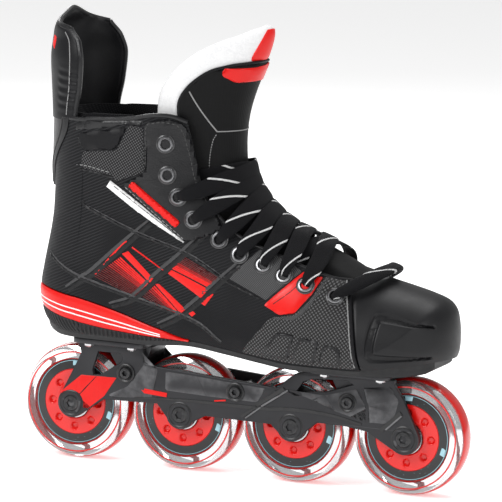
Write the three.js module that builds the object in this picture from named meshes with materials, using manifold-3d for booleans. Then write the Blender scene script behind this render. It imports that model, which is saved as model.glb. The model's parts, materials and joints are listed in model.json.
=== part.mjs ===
// Right-foot inline hockey skate: laced boot on a bolted two-rail frame with four 80 mm wheels.
// Millimetres. +X points to the toe, +Y to the medial side, +Z up. The origin is on the ground,
// midway between the outer axles. Every mesh is one separate piece of the skate.
import * as THREE from "three";
import Module from "manifold-3d";
import { mergeVertices } from "three/addons/utils/BufferGeometryUtils.js";

const wasm = await Module();
wasm.setup();

// ---------- driving dimensions ----------
const WHEEL_RADIUS = 40;
const WHEEL_PITCH = 81.6;
const AXLE_HEIGHT = WHEEL_RADIUS;
const TYRE_INNER_RADIUS = 30.3;
const CORE_RADIUS = 30;
const BEARING_RADIUS = 11;
const BEARING_WIDTH = 7;
const AXLE_RADIUS = 4;
const SPACER_HALF = 5.1;
const FIT = 0.3; // gap kept between touching pieces
const RAIL_INNER = 14; // inner face of a rail from the centre plane
const RAIL_OUTER = 18;
const CROSS_BOLTS = [
  ["rear", -81.6, 65],
  ["middle", 0, 60],
  ["front", 81.6, 61],
];
const WHEELS = [
  ["rear", -1.5 * WHEEL_PITCH],
  ["mid_rear", -0.5 * WHEEL_PITCH],
  ["mid_front", 0.5 * WHEEL_PITCH],
  ["front", 1.5 * WHEEL_PITCH],
];
const SOLE_THICK = 4;
const FOOTBED_THICK = 4;
const QUARTER_THICK = 2.4;
const SIDES = [
  ["lateral", -1],
  ["medial", 1],
];

// ---------- materials ----------
const finish = (color, roughness, metalness = 0) =>
  new THREE.MeshStandardMaterial({ color, roughness, metalness });
const MATERIALS = {
  textile: finish(0x2b2c2e, 0.6),
  leather: finish(0x232325, 0.45),
  capPlastic: finish(0x2a2b2d, 0.5),
  solePlastic: finish(0x161617, 0.6),
  redPlastic: finish(0xe3120b, 0.4),
  lining: finish(0x17171a, 0.9),
  felt: finish(0xe9e9e9, 0.95),
  laceWeave: finish(0x141415, 0.85),
  frame: finish(0x3b3c3e, 0.5),
  steel: finish(0x9a9b9e, 0.3, 1),
  blackSteel: finish(0x1b1c1e, 0.35, 0.8),
  urethane: finish(0xd8dadd, 0.2),
  core: finish(0xe8140c, 0.35),
};

const skate = new THREE.Group();

function add(name, geometry, material) {
  const mesh = new THREE.Mesh(geometry, material);
  mesh.name = name;
  skate.add(mesh);
  return mesh;
}

// ---------- small maths ----------
const clamp = (v, lo, hi) => Math.min(hi, Math.max(lo, v));
const mix = (a, b, t) => a + (b - a) * t;
const smooth = (v) => clamp(v, 0, 1) ** 2 * (3 - 2 * clamp(v, 0, 1));

// Evenly spaced values, ends included.
const stations = (from, to, count) =>
  Array.from({ length: count + 1 }, (_, i) => mix(from, to, i / count));

// A smooth function of one variable through [x, y] points, flat beyond both ends.
function through(points) {
  const n = points.length;
  const slope = points.map((p, i) => {
    if (i === 0 || i === n - 1) return 0;
    const before = (p[1] - points[i - 1][1]) / (p[0] - points[i - 1][0]);
    const after = (points[i + 1][1] - p[1]) / (points[i + 1][0] - p[0]);
    return before * after <= 0 ? 0 : (2 * before * after) / (before + after);
  });
  return (x) => {
    if (x <= points[0][0]) return points[0][1];
    if (x >= points[n - 1][0]) return points[n - 1][1];
    const i = points.findIndex((p) => p[0] > x) - 1;
    const [x0, y0] = points[i];
    const [x1, y1] = points[i + 1];
    const h = x1 - x0;
    const t = (x - x0) / h;
    const a = (1 + 2 * t) * (1 - t) ** 2 * y0 + t * (1 - t) ** 2 * h * slope[i];
    return a + t * t * (3 - 2 * t) * y1 + t * t * (t - 1) * h * slope[i + 1];
  };
}

// A point at a share of the length of a polyline of [x, z] points.
function alongLine(points, share) {
  const lengths = points.slice(1).map((p, i) => Math.hypot(p[0] - points[i][0], p[1] - points[i][1]));
  let left = clamp(share, 0, 1) * lengths.reduce((a, b) => a + b, 0);
  for (let i = 0; i < lengths.length; i++) {
    if (left <= lengths[i] || i === lengths.length - 1) {
      const t = clamp(left / lengths[i], 0, 1);
      return [mix(points[i][0], points[i + 1][0], t), mix(points[i][1], points[i + 1][1], t)];
    }
    left -= lengths[i];
  }
}

// The nearest point of a polyline and its distance.
function nearest(points, x, z) {
  let best = { distance: Infinity, point: points[0] };
  points.slice(1).forEach((p, i) => {
    const [ax, az] = points[i];
    const dx = p[0] - ax;
    const dz = p[1] - az;
    const t = clamp(((x - ax) * dx + (z - az) * dz) / (dx * dx + dz * dz), 0, 1);
    const point = [ax + dx * t, az + dz * t];
    const distance = Math.hypot(x - point[0], z - point[1]);
    if (distance < best.distance) best = { distance, point };
  });
  return best;
}

// ---------- boot form ----------
// Side view: the dorsum line runs from the toe tip over the instep and up the tongue.
const DORSUM = [
  [147, 90], [150, 98], [150.3, 108], [149.5, 118], [147, 127], [141, 133.5], [130, 137.5],
  [116, 141], [97, 145.5], [85, 151], [70, 159.5], [52, 167], [36, 172.5], [22, 180],
  [10, 190.5], [2, 201], [-2, 211], [-3.5, 222], [-3.5, 238], [-1, 252], [4.5, 266],
  [10, 280], [15, 293], [18, 304], [18.5, 314],
];
const heelBack = through([
  [88, -134], [91, -141], [96, -145.5], [107, -150], [121, -152], [135, -150], [150, -147],
  [163, -144.5], [175, -143], [190, -142.5], [243, -142.5],
]);
const soleBottom = through([
  [-150, 96], [-140, 90.5], [-128, 88], [-66, 88], [-30, 90.5], [0, 88], [25, 85.3],
  [50, 83], [118, 83], [135, 85.5], [147, 92],
]);
const HEEL_RADIUS = 36;
const soleWidth = through([
  [-120, 34], [-80, 34.5], [-40, 36.5], [0, 41], [40, 46.5], [75, 48.5], [100, 47.5], [150, 43],
]);
const shaftWidth = through([
  [-120, 38], [-90, 40.5], [-60, 40], [-30, 38.5], [20, 40], [60, 43], [100, 43],
]);
const centreShift = (x) => 4 * smooth((x - 10) / 130);
const closure = (q, power) => (1 - (1 - clamp(q, 0, 1)) ** power) ** (1 / power);

// Half width of the boot at a point of the side view.
function halfWidth(x, z) {
  const wide = mix(soleWidth(x), shaftWidth(x), smooth((z - 98) / 85));
  const depth = mix(50, 60, smooth((z - 170) / 50));
  const top = closure(nearest(DORSUM, x, z).distance / depth, 2.05);
  const heel = closure((x - heelBack(z)) / HEEL_RADIUS, 2);
  const foot = closure((z - soleBottom(x) + 9) / 26, 2.2); // the side tucks in towards the sole
  return wide * top * heel * foot;
}

// A point of the boot's surface from its side view, on a side of -1 or 1, with an outward offset.
function skin(side, x, z, offset = 0) {
  const e = 0.5;
  const w = halfWidth(x, z);
  const nx = -(halfWidth(x + e, z) - halfWidth(x - e, z)) / (2 * e);
  const nz = -(halfWidth(x, z + e) - halfWidth(x, z - e)) / (2 * e);
  const normal = new THREE.Vector3(nx, side, nz).normalize();
  return new THREE.Vector3(x, side * w + centreShift(x), z).addScaledVector(normal, offset);
}

// A point of the heel's surface: turn is 0 at the centre of the back and 90 degrees at the side.
function heelSkin(side, turn, z, offset = 0) {
  const at = (angle, height) => {
    const x = heelBack(height) + HEEL_RADIUS * (1 - Math.cos(angle));
    const join = heelBack(height) + HEEL_RADIUS;
    return new THREE.Vector3(x, side * halfWidth(join, height) * Math.sin(angle), height);
  };
  const e = 0.02;
  const across = at(turn + e, z).sub(at(turn - e, z));
  const up = at(turn, z + 0.5).sub(at(turn, z - 0.5));
  const normal = new THREE.Vector3().crossVectors(across, up).normalize();
  if (normal.x * -Math.cos(turn) + normal.y * side * Math.sin(turn) < 0) normal.negate();
  return at(turn, z).addScaledVector(normal, offset);
}

// ---------- solids from grids ----------
// A closed solid between two grids of points, outer[i][j] and inner[i][j].
function sheet(outer, inner) {
  const rows = outer.length;
  const columns = outer[0].length;
  const vertices = [...outer.flat(), ...inner.flat()].flatMap((p) => [p.x, p.y, p.z]);
  const out = (i, j) => i * columns + j;
  const into = (i, j) => rows * columns + out(i, j);
  const index = [];
  const quad = (a, b, c, d) => index.push(a, b, c, a, c, d);
  for (let i = 0; i < rows - 1; i++)
    for (let j = 0; j < columns - 1; j++) {
      quad(out(i, j), out(i + 1, j), out(i + 1, j + 1), out(i, j + 1));
      quad(into(i, j), into(i, j + 1), into(i + 1, j + 1), into(i + 1, j));
    }
  for (let i = 0; i < rows - 1; i++) {
    quad(out(i, 0), into(i, 0), into(i + 1, 0), out(i + 1, 0));
    quad(out(i + 1, columns - 1), into(i + 1, columns - 1), into(i, columns - 1), out(i, columns - 1));
  }
  for (let j = 0; j < columns - 1; j++) {
    quad(out(0, j + 1), into(0, j + 1), into(0, j), out(0, j));
    quad(out(rows - 1, j), into(rows - 1, j), into(rows - 1, j + 1), out(rows - 1, j + 1));
  }
  const geometry = new THREE.BufferGeometry();
  geometry.setAttribute("position", new THREE.Float32BufferAttribute(vertices, 3));
  geometry.setIndex(index);
  return facingOut(tidy(geometry));
}

// The geometry with shared corners merged and collapsed triangles dropped.
function tidy(geometry) {
  const bare = geometry.index ? geometry.toNonIndexed() : geometry.clone();
  for (const name of Object.keys(bare.attributes)) if (name !== "position") bare.deleteAttribute(name);
  const merged = mergeVertices(bare, 2e-3);
  const index = merged.index.array;
  const kept = [];
  for (let i = 0; i < index.length; i += 3) {
    const [a, b, c] = [index[i], index[i + 1], index[i + 2]];
    if (a !== b && b !== c && a !== c) kept.push(a, b, c);
  }
  merged.setIndex(kept);
  return merged;
}

function volumeOf(geometry) {
  const p = geometry.attributes.position;
  const corner = (i) => new THREE.Vector3().fromBufferAttribute(p, geometry.index.array[i]);
  let volume = 0;
  for (let i = 0; i < geometry.index.count; i += 3)
    volume += corner(i).dot(corner(i + 1).cross(corner(i + 2))) / 6;
  return volume;
}

function facingOut(geometry) {
  if (volumeOf(geometry) < 0) {
    const index = geometry.index.array;
    for (let i = 0; i < index.length; i += 3) [index[i + 1], index[i + 2]] = [index[i + 2], index[i + 1]];
  }
  return geometry;
}

const toSolid = (geometry) => {
  const merged = facingOut(tidy(geometry));
  return new wasm.Manifold(
    new wasm.Mesh({
      numProp: 3,
      vertProperties: new Float32Array(merged.attributes.position.array),
      triVerts: new Uint32Array(merged.index.array),
    }),
  );
};

function toGeometry(solid) {
  const mesh = solid.getMesh();
  const geometry = new THREE.BufferGeometry();
  geometry.setAttribute("position", new THREE.BufferAttribute(new Float32Array(mesh.vertProperties), 3));
  geometry.setIndex(new THREE.BufferAttribute(new Uint32Array(mesh.triVerts), 1));
  return geometry;
}

const cut = (geometry, tools) =>
  toGeometry(tools.reduce((solid, tool) => solid.subtract(toSolid(tool)), toSolid(geometry)));
const join = (pieces) => toGeometry(pieces.map(toSolid).reduce((a, b) => a.add(b)));

// A cylinder along an axis vector, centred on a point.
function rod(centre, axis, radius, length, segments = 12) {
  const geometry = new THREE.CylinderGeometry(radius, radius, length, segments);
  const turn = new THREE.Quaternion().setFromUnitVectors(
    new THREE.Vector3(0, 1, 0),
    axis.clone().normalize(),
  );
  return geometry.applyQuaternion(turn).translate(centre.x, centre.y, centre.z);
}
const rodY = (x, z, from, to, radius, segments) => {
  const centre = new THREE.Vector3(x, (from + to) / 2, z);
  return rod(centre, new THREE.Vector3(0, 1, 0), radius, Math.abs(to - from), segments);
};

// A turned ring about the Y axis from a closed [radius, y] profile, with a flat facet underneath.
function turned(profile, segments, x, z) {
  const closed = [...profile, profile[0]].map(([r, y]) => new THREE.Vector2(r, y));
  return facingOut(
    tidy(new THREE.LatheGeometry(closed, segments, Math.PI / segments).translate(x, 0, z)),
  );
}

// ---------- lacing layout ----------
// Side-view centres of the ten eyelets of a side, from the collar down to the vamp.
const EYELETS = [
  [-48, 228.5], [-46, 207.5], [-38, 193], [-26.5, 178.5], [-8, 166.5], [7, 157.5], [24.5, 152],
  [40, 146.3], [56, 141], [76, 135],
];
const EYELET_HOLE = 3.3;
const crownOf = ([x, z]) => nearest(DORSUM, x, z).point;

// A point across the throat at a row number: across is -1 at the lateral eyelet, 0 at the crown.
function overTongue(row, across, offset) {
  const i = clamp(Math.floor(row), 0, EYELETS.length - 2);
  const t = row - i;
  const [e0, e1] = [EYELETS[i], EYELETS[i + 1]];
  const [c0, c1] = [crownOf(e0), crownOf(e1)];
  const eyelet = [mix(e0[0], e1[0], t), mix(e0[1], e1[1], t)];
  const crown = [mix(c0[0], c1[0], t), mix(c0[1], c1[1], t)];
  const lift = 1 - across * across;
  if (Math.abs(across) < 0.02) return crownPoint(crown, offset);
  const side = across < 0 ? -1 : 1;
  const x = mix(eyelet[0], crown[0], lift);
  const z = mix(eyelet[1], crown[1], lift);
  return skin(side, x, z, offset);
}
const eyeletNormal = (row, side) => {
  const [x, z] = EYELETS[row];
  return skin(side, x, z, 1).sub(skin(side, x, z, 0)).normalize();
};
const eyeletRod = (row, side) => {
  const [x, z] = EYELETS[row];
  return rod(skin(side, x, z), eyeletNormal(row, side), EYELET_HOLE, 16, 8);
};

// ---------- boot: quarters ----------
// Side-view edges of a quarter. The toe seam leans back as it rises to the throat, and the throat
// edge runs from there up to the collar.
const SEAM_X = 98.3; // the seam's lower end
const SEAM_TOP = [83.3, 145.8];
const THROAT = [
  [SEAM_TOP[0] - FIT, SEAM_TOP[1]], [72, 147.3], [58, 151.5], [46, 155], [30, 160.5], [12, 166.5], [-2, 175],
  [-14, 186], [-22, 198], [-26, 210], [-29.5, 224], [-34.5, 244],
];
const COLLAR = [[-34.5, 244], [-46, 247], [-60, 246.5], [-75, 243.5], [-106, 241]];
const collarHeight = through([[-144, 240], [-125, 240], [-106, 241]]);
const soleRim = (x) => soleBottom(x) + SOLE_THICK;
const bandBottom = through([[-153, 107], [-120, 101.5], [-87, 97], [-50, 94.8], [-28, 94.6]]);
const bandTop = through([[-153, 122], [-120, 118], [-87, 111], [-50, 100.5], [-28, 95.2]]);
const quarterBottom = (x) => (x < -28 ? bandTop(x) + 1 : soleRim(x) + FIT);
const FRONT_RIBS = 15;
const HEEL_RIBS = 6;
const LEVELS = 7;

function quarterGrid(side, offset) {
  const topLine = [...THROAT, ...COLLAR.slice(1)];
  const rows = [];
  for (let i = 0; i <= FRONT_RIBS; i++) {
    const share = i / FRONT_RIBS;
    const top = alongLine(topLine, share);
    const bottomX = mix(SEAM_X - FIT, heelBack(110) + HEEL_RADIUS, share ** 0.9);
    const bottom = [bottomX, quarterBottom(bottomX)];
    const row = [];
    for (let j = 0; j <= LEVELS; j++) {
      const level = j / LEVELS;
      row.push(skin(side, mix(bottom[0], top[0], level), mix(bottom[1], top[1], level), offset));
    }
    rows.push(row);
  }
  for (let i = 1; i <= HEEL_RIBS; i++) {
    const turn = (Math.PI / 2) * (1 - i / HEEL_RIBS);
    const xAt = (z) => heelBack(z) + HEEL_RADIUS * (1 - Math.cos(turn));
    const low = quarterBottom(xAt(115));
    const high = collarHeight(xAt(240));
    const row = [];
    for (let j = 0; j <= LEVELS; j++) {
      const p = heelSkin(side, turn, mix(low, high, j / LEVELS), offset);
      if (i === HEEL_RIBS) p.y = side * FIT;
      row.push(p);
    }
    rows.push(row);
  }
  return rows;
}

for (const [name, side] of SIDES) {
  const holes = EYELETS.map((_, row) => eyeletRod(row, side));
  const shell = sheet(quarterGrid(side, 0), quarterGrid(side, -QUARTER_THICK));
  add(`quarter_${name}`, cut(shell, holes), MATERIALS.textile);
}

// ---------- boot: leather facings around the upper eyelets ----------
const FACING_THICK = 1.3;
const FACING_GAP = 0.9;
const FACING_BACK = [
  [-63, 243], [-61, 225], [-60, 209], [-76, 201], [-61, 186], [-42.5, 171.5], [-31, 163.5],
];
const FACING_FRONT = [
  [-36, 243], [-31.5, 227], [-27.5, 211], [-24, 199.5], [-18, 190.5], [-11, 182], [-9, 172],
];
for (const [name, side] of SIDES) {
  const grid = (offset) =>
    FACING_BACK.map((back, i) =>
      [0, 0.35, 0.7, 1].map((t) =>
        skin(side, mix(back[0], FACING_FRONT[i][0], t), mix(back[1], FACING_FRONT[i][1], t), offset),
      ),
    );
  const panel = sheet(grid(FACING_GAP + FACING_THICK), grid(FACING_GAP));
  add(`facing_${name}`, cut(panel, [0, 1, 2, 3].map((row) => eyeletRod(row, side))), MATERIALS.leather);
}

// ---------- boot: toe cap ----------
// Ribs fan out from the lower rear corner of the cap to the crown. The last one runs along the sole.
// The first one climbs the toe seam to a shoulder and then turns forward across the crown.
const CAP_CORNER = [SEAM_X, 88.5];
const CAP_REAR = [97, 145.5]; // the cap's rear edge on the crown
const CAP_EDGE_SLOPE = 0.126;
const CAP_SHOULDER = 0.88; // share of a rib's rise where the shoulder lies
const CAP_RIBS = 11;
const CAP_THICK = 3;
// Where a ray in the side view first meets the dorsum line.
function dorsumAlong([x, z], angle) {
  const hits = DORSUM.slice(1).flatMap(([bx, bz], i) => {
    const [ax, az] = DORSUM[i];
    const [dx, dz] = [Math.cos(angle), Math.sin(angle)];
    const across = dx * (bz - az) - dz * (bx - ax);
    const reach = ((ax - x) * (bz - az) - (az - z) * (bx - ax)) / across;
    const along = ((ax - x) * dz - (az - z) * dx) / across;
    return along >= -1e-9 && along <= 1 + 1e-9 && reach > 0 ? [reach] : [];
  });
  const reach = Math.min(...hits);
  return [x + reach * Math.cos(angle), z + reach * Math.sin(angle)];
}
// A side-view point of a cap rib: share is 0 on the first rib, lift is 0 at the corner.
function capPoint(share, lift, crown) {
  const lean = (1 - share) ** 3;
  const shoulder = [0, 1].map((k) => {
    const straight = mix(CAP_CORNER[k], crown[k], CAP_SHOULDER);
    return straight + lean * (SEAM_TOP[k] - mix(CAP_CORNER[k], CAP_REAR[k], CAP_SHOULDER));
  });
  return [0, 1].map((k) =>
    lift < CAP_SHOULDER
      ? mix(CAP_CORNER[k], shoulder[k], lift / CAP_SHOULDER)
      : mix(shoulder[k], crown[k], (lift - CAP_SHOULDER) / (1 - CAP_SHOULDER)),
  );
}
function capGrid(offset) {
  const start = Math.atan2(CAP_REAR[1] - CAP_CORNER[1], CAP_REAR[0] - CAP_CORNER[0]);
  return stations(0, 1, CAP_RIBS).map((share) => {
    const angle = mix(start, Math.atan(CAP_EDGE_SLOPE), share);
    const crown = dorsumAlong(CAP_CORNER, angle);
    const right = [0.1, 0.22, 0.35, 0.5, 0.66, 0.84, 1];
    return [...right.map((share) => -share).reverse(), 0, ...right].map((across) => {
      const [x, z] = capPoint(share, 1 - across * across, crown);
      return across === 0 ? crownPoint(crown, offset) : skin(Math.sign(across), x, z, offset);
    });
  });
}
// A point on the dorsum line, moved along the line's own normal.
function crownPoint([x, z], offset) {
  const i = DORSUM.findIndex((p, k) => k > 0 && nearest([DORSUM[k - 1], p], x, z).distance < 0.2);
  const [a, b] = [DORSUM[Math.max(i - 1, 0)], DORSUM[Math.max(i, 1)]];
  const normal = new THREE.Vector3(b[1] - a[1], 0, a[0] - b[0]).normalize();
  return new THREE.Vector3(x, centreShift(x), z).addScaledVector(normal, offset);
}
add("toe_cap", sheet(capGrid(0), capGrid(-CAP_THICK)), MATERIALS.capPlastic);

// ---------- boot: outsole with its heel cup ----------
// A body from cross-sections: inset from the boot's surface, between two heights.
function plank(xs, inset, low, high) {
  const rows = xs.map((x) => {
    const base = Math.max(halfWidth(x, low(x) + 4) - inset, 0.6);
    const top = Math.max(halfWidth(x, high(x)) - inset, 0.6);
    const y = centreShift(x);
    return [
      new THREE.Vector3(x, y - base, low(x)),
      new THREE.Vector3(x, y - top, high(x)),
      new THREE.Vector3(x, y + top, high(x)),
      new THREE.Vector3(x, y + base, low(x)),
    ];
  });
  const flip = rows.map((row) => [row[0], row[3]]);
  const lid = rows.map((row) => [row[1], row[2]]);
  return sheet(lid, flip);
}
const heelStations = (start) =>
  [0, 1.2, 4, 9, 16, 25, 36].map((d) => start + d);
const RIVET_ROWS = [
  ["rear_mount", [-108, -76]],
  ["front_mount", [66, 106]],
];
const RIVET_Y = 22;
const RIVET_RADIUS = 2.2;
const rodZ = (x, y, from, to, radius, segments = 12) =>
  rod(new THREE.Vector3(x, y, (from + to) / 2), new THREE.Vector3(0, 0, 1), radius, to - from, segments);
// The lower edge of the toe cap rises towards the tip.
const capEdge = (x) => CAP_CORNER[1] + CAP_EDGE_SLOPE * (x - SEAM_X);
const soleTop = (x) => (x > SEAM_X - 3 ? Math.max(soleRim(x), capEdge(x) - FIT) : soleRim(x));
{
  const cupHigh = (x) => (x < -28 ? bandBottom(x) - FIT : soleRim(x));
  const heelEnd = heelBack(98) + 0.4;
  const xs = [...heelStations(heelEnd), ...stations(-90, 90, 12), SEAM_X - 1];
  const body = plank(xs, 0, soleBottom, cupHigh);
  const nose = plank([SEAM_X - 2, 108, 120, 132, 141], 2.5, soleBottom, soleTop);
  const cupInner = plank(
    [...heelStations(heelEnd + 3), ...stations(-88, -30, 4), -24],
    3,
    (x) => soleRim(x),
    (x) => bandBottom(x) + 12,
  );
  const holes = RIVET_ROWS.flatMap(([, xs]) => xs).flatMap((x) =>
    SIDES.map(([, side]) =>
      rodZ(x, side * RIVET_Y, soleBottom(x) - 2, soleBottom(x) + 8, RIVET_RADIUS + FIT),
    ),
  );
  add("outsole", cut(join([body, nose]), [cupInner, ...holes]), MATERIALS.solePlastic);
}

// ---------- boot: red band around the heel ----------
{
  const rowsFor = (offset) => {
    const rows = [];
    const point = (side, x, level) => {
      const z = mix(bandBottom(x), Math.max(bandTop(x), bandBottom(x) + 0.8), level);
      return skin(side, x, z, offset);
    };
    const turned90 = (side, turn, level) => {
      const x = heelBack(110) + HEEL_RADIUS * (1 - Math.cos(turn));
      return heelSkin(side, turn, mix(bandBottom(x), bandTop(x), level), offset);
    };
    const frontXs = [-30, -44, -60, -76, -92, -108];
    const turns = [72, 54, 36, 18].map((d) => (d * Math.PI) / 180);
    const levels = [0, 0.33, 0.67, 1];
    frontXs.forEach((x) => rows.push(levels.map((l) => point(-1, x, l))));
    turns.forEach((t) => rows.push(levels.map((l) => turned90(-1, t, l))));
    rows.push(levels.map((l) => turned90(-1, 0, l)));
    [...turns].reverse().forEach((t) => rows.push(levels.map((l) => turned90(1, t, l))));
    [...frontXs].reverse().forEach((x) => rows.push(levels.map((l) => point(1, x, l))));
    return rows;
  };
  add("heel_band", sheet(rowsFor(0.4), rowsFor(-1.9)), MATERIALS.redPlastic);
}

// ---------- boot: backstay and tendon guard ----------
const GUARD_THICK = 3;
const GUARD_BASE = 241.5;
{
  const rowsFor = (offset) =>
    stations(190, GUARD_BASE - FIT, 6).map((z) => {
      const spread = mix(0.3, 1.15, smooth((z - 188) / 50));
      return stations(-1, 1, 8).map((s) => heelSkin(s < 0 ? -1 : 1, Math.abs(s) * spread, z, offset));
    });
  add("backstay", sheet(rowsFor(2.6), rowsFor(1)), MATERIALS.leather);
}
const guardBack = through([
  [241, -145.2], [252, -146], [263, -147], [280, -148], [291, -147], [297, -146], [303, -143.5], [312, -138],
]);
const guardFront = through([[241, -117], [262, -114], [279, -113], [292, -116], [303, -124]]);
const guardHalf = through([[241, 36.8], [262, 38], [279, 39], [303, 34]]);
{
  const rowsFor = (inset) =>
    stations(0, 1, 9).map((level) =>
      stations(-1, 1, 12).map((s) => {
        const turn = (Math.abs(s) * Math.PI) / 2;
        const top = mix(312, 301, Math.sin(turn) ** 1.5);
        const z = mix(GUARD_BASE, top, level);
        const depth = guardFront(z) - guardBack(z);
        const x = guardBack(z) + inset + (depth - inset) * (1 - Math.cos(turn));
        return new THREE.Vector3(x, Math.sign(s) * (guardHalf(z) - inset) * Math.sin(turn), z);
      }),
    );
  add("tendon_guard", sheet(rowsFor(0), rowsFor(GUARD_THICK)), MATERIALS.leather);
}

// ---------- boot: padded ankle liner ----------
const LINER_OUT = -QUARTER_THICK - 1.2;
const LINER_IN = LINER_OUT - 6;
{
  // The front edge stays behind the eyelets and the tongue; the top edge stands above the collar.
  const topLine = [[40, 128], [20, 136], [0, 141], [-18, 149], [-36, 164], [-52, 182], [-66, 205], [-72, 230],
    [-73, 245.5], [-90, 245], [-106, 244.5]];
  const floor = (x) => (x < -28 ? bandBottom(x) + 0.6 : soleRim(x) + 2 * FIT);
  const frontRows = (side, offset) =>
    stations(0, 1, 12).map((share) => {
      const top = alongLine(topLine, share);
      const bottomX = mix(52, heelBack(120) + HEEL_RADIUS, share);
      const bottom = [bottomX, floor(bottomX)];
      return stations(0, 1, 6).map((l) =>
        skin(side, mix(bottom[0], top[0], l), mix(bottom[1], top[1], l), offset),
      );
    });
  const heelRows = (offset) =>
    [60, 30, 0, -30, -60].map((degrees) => {
      const turn = (Math.abs(degrees) * Math.PI) / 180;
      const side = degrees > 0 ? -1 : 1;
      const low = floor(-150);
      return stations(0, 1, 6).map((l) => heelSkin(side, turn, mix(low, 243.5, l), offset));
    });
  const rowsFor = (offset) => [
    ...frontRows(-1, offset),
    ...heelRows(offset),
    ...frontRows(1, offset).reverse(),
  ];
  add("ankle_liner", sheet(rowsFor(LINER_OUT), rowsFor(LINER_IN)), MATERIALS.lining);
}

// ---------- boot: removable footbed ----------
{
  const low = (x) => soleTop(x) + 2 * FIT;
  const xs = [-132, -128, -120, -105, ...stations(-85, 95, 9), SEAM_X - 2, 115, 128, 138];
  const end = (x) => Math.max(0, (x - 112) * 0.12);
  add(
    "footbed",
    plank(xs, -LINER_IN + 1.2, low, (x) => low(x) + FOOTBED_THICK - end(x)),
    MATERIALS.lining,
  );
}

// ---------- boot: tongue ----------
// Side-view ribs of the tongue from the vamp up: its edge under the facings, then free above them.
const TONGUE_EDGE = [
  [104, 125], [94, 129], [82, 133.5], [66, 138], [46, 144.5], [28, 150], [8, 157], [-8, 166],
  [-24, 176.5], [-36, 190],
  [-44, 205], [-50, 220], [-56, 234], [-58.5, 246],
];
const TONGUE_THIN = 8.2;
const rib = ([x, z], split, outer) =>
  stations(-1, 1, 2 * split).map((s) => {
    const crown = crownOf([x, z]);
    const lift = 1 - s * s;
    const px = mix(x, crown[0], lift);
    const pz = mix(z, crown[1], lift);
    const sunk = mix(4.2, 7.8, smooth((Math.abs(s) - 0.45) / 0.3));
    const depth = outer ? sunk : 4.2 + TONGUE_THIN;
    if (Math.abs(s) < 1e-6) return crownPoint(crown, -depth);
    return skin(Math.sign(s), px, pz, -depth);
  });
add(
  "tongue_base",
  sheet(TONGUE_EDGE.map((e) => rib(e, 5, true)), TONGUE_EDGE.map((e) => rib(e, 5, false))),
  MATERIALS.felt,
);
// Above the collar the tongue is free: each rib is an arch from a crown point to an edge point.
const FLAP_RIBS = [
  [[-6.9, 239.5], [-59, 31.5, 247.3]],
  [[-6, 249], [-58, 33, 257]],
  [[-1.5, 265], [-53, 33, 270]],
  [[4, 279], [-45, 31, 281]],
  [[8.5, 291], [-33, 26, 292]],
  [[11.3, 300.5], [-20, 19, 299.5]],
  [[11.5, 307], [-7, 11, 304.5]],
  [[8, 311], [3, 4, 308]],
];
function flapRib([crown, edge], depth) {
  const reach = Math.hypot(edge[0] - crown[0], edge[2] - crown[1]);
  const back = [(edge[0] - crown[0]) / reach, (edge[2] - crown[1]) / reach];
  return stations(-1, 1, 10).map((s) => {
    const angle = (s * Math.PI) / 2;
    const normal = new THREE.Vector2(Math.cos(angle) / reach, Math.sin(angle) / edge[1]).normalize();
    const along = reach * (1 - Math.cos(angle)) + depth * normal.x;
    const y = edge[1] * Math.sin(angle) - depth * normal.y;
    return new THREE.Vector3(crown[0] + back[0] * along, y, crown[1] + back[1] * along);
  });
}
add(
  "tongue_flap",
  sheet(FLAP_RIBS.map((r) => flapRib(r, 0)), FLAP_RIBS.map((r, i) => flapRib(r, i > 5 ? 2 + (7 - i) : 7))),
  MATERIALS.felt,
);

// A curve that steps evenly from one listed point to the next.
class Route extends THREE.Curve {
  constructor(points) {
    super();
    this.points = points;
  }
  getPoint(t) {
    const at = t * (this.points.length - 1);
    const i = clamp(Math.floor(at), 0, this.points.length - 2);
    return new THREE.Vector3().lerpVectors(this.points[i], this.points[i + 1], at - i);
  }
  getPointAt(t) {
    return this.getPoint(t);
  }
  getTangentAt(t) {
    const step = 0.5 / (this.points.length - 1);
    return this.getPoint(clamp(t + step, 0, 1)).sub(this.getPoint(clamp(t - step, 0, 1))).normalize();
  }
}

// ---------- boot: lace ----------
// One lace. A loop over the toe cap's rear edge joins the lowest pair of eyelets, each side runs
// inside to the next eyelet and criss-crosses upwards, and both ends are tucked in at the top.
const LACE_HALF = 0.9;
const laceOut = (row) => (row < 4 ? 4.1 : 2); // lace centre above the facing and above the quarter
const LACE_UNDER = -4.3; // lace centre below the quarter
const TOP_LACED = 2;
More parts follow.
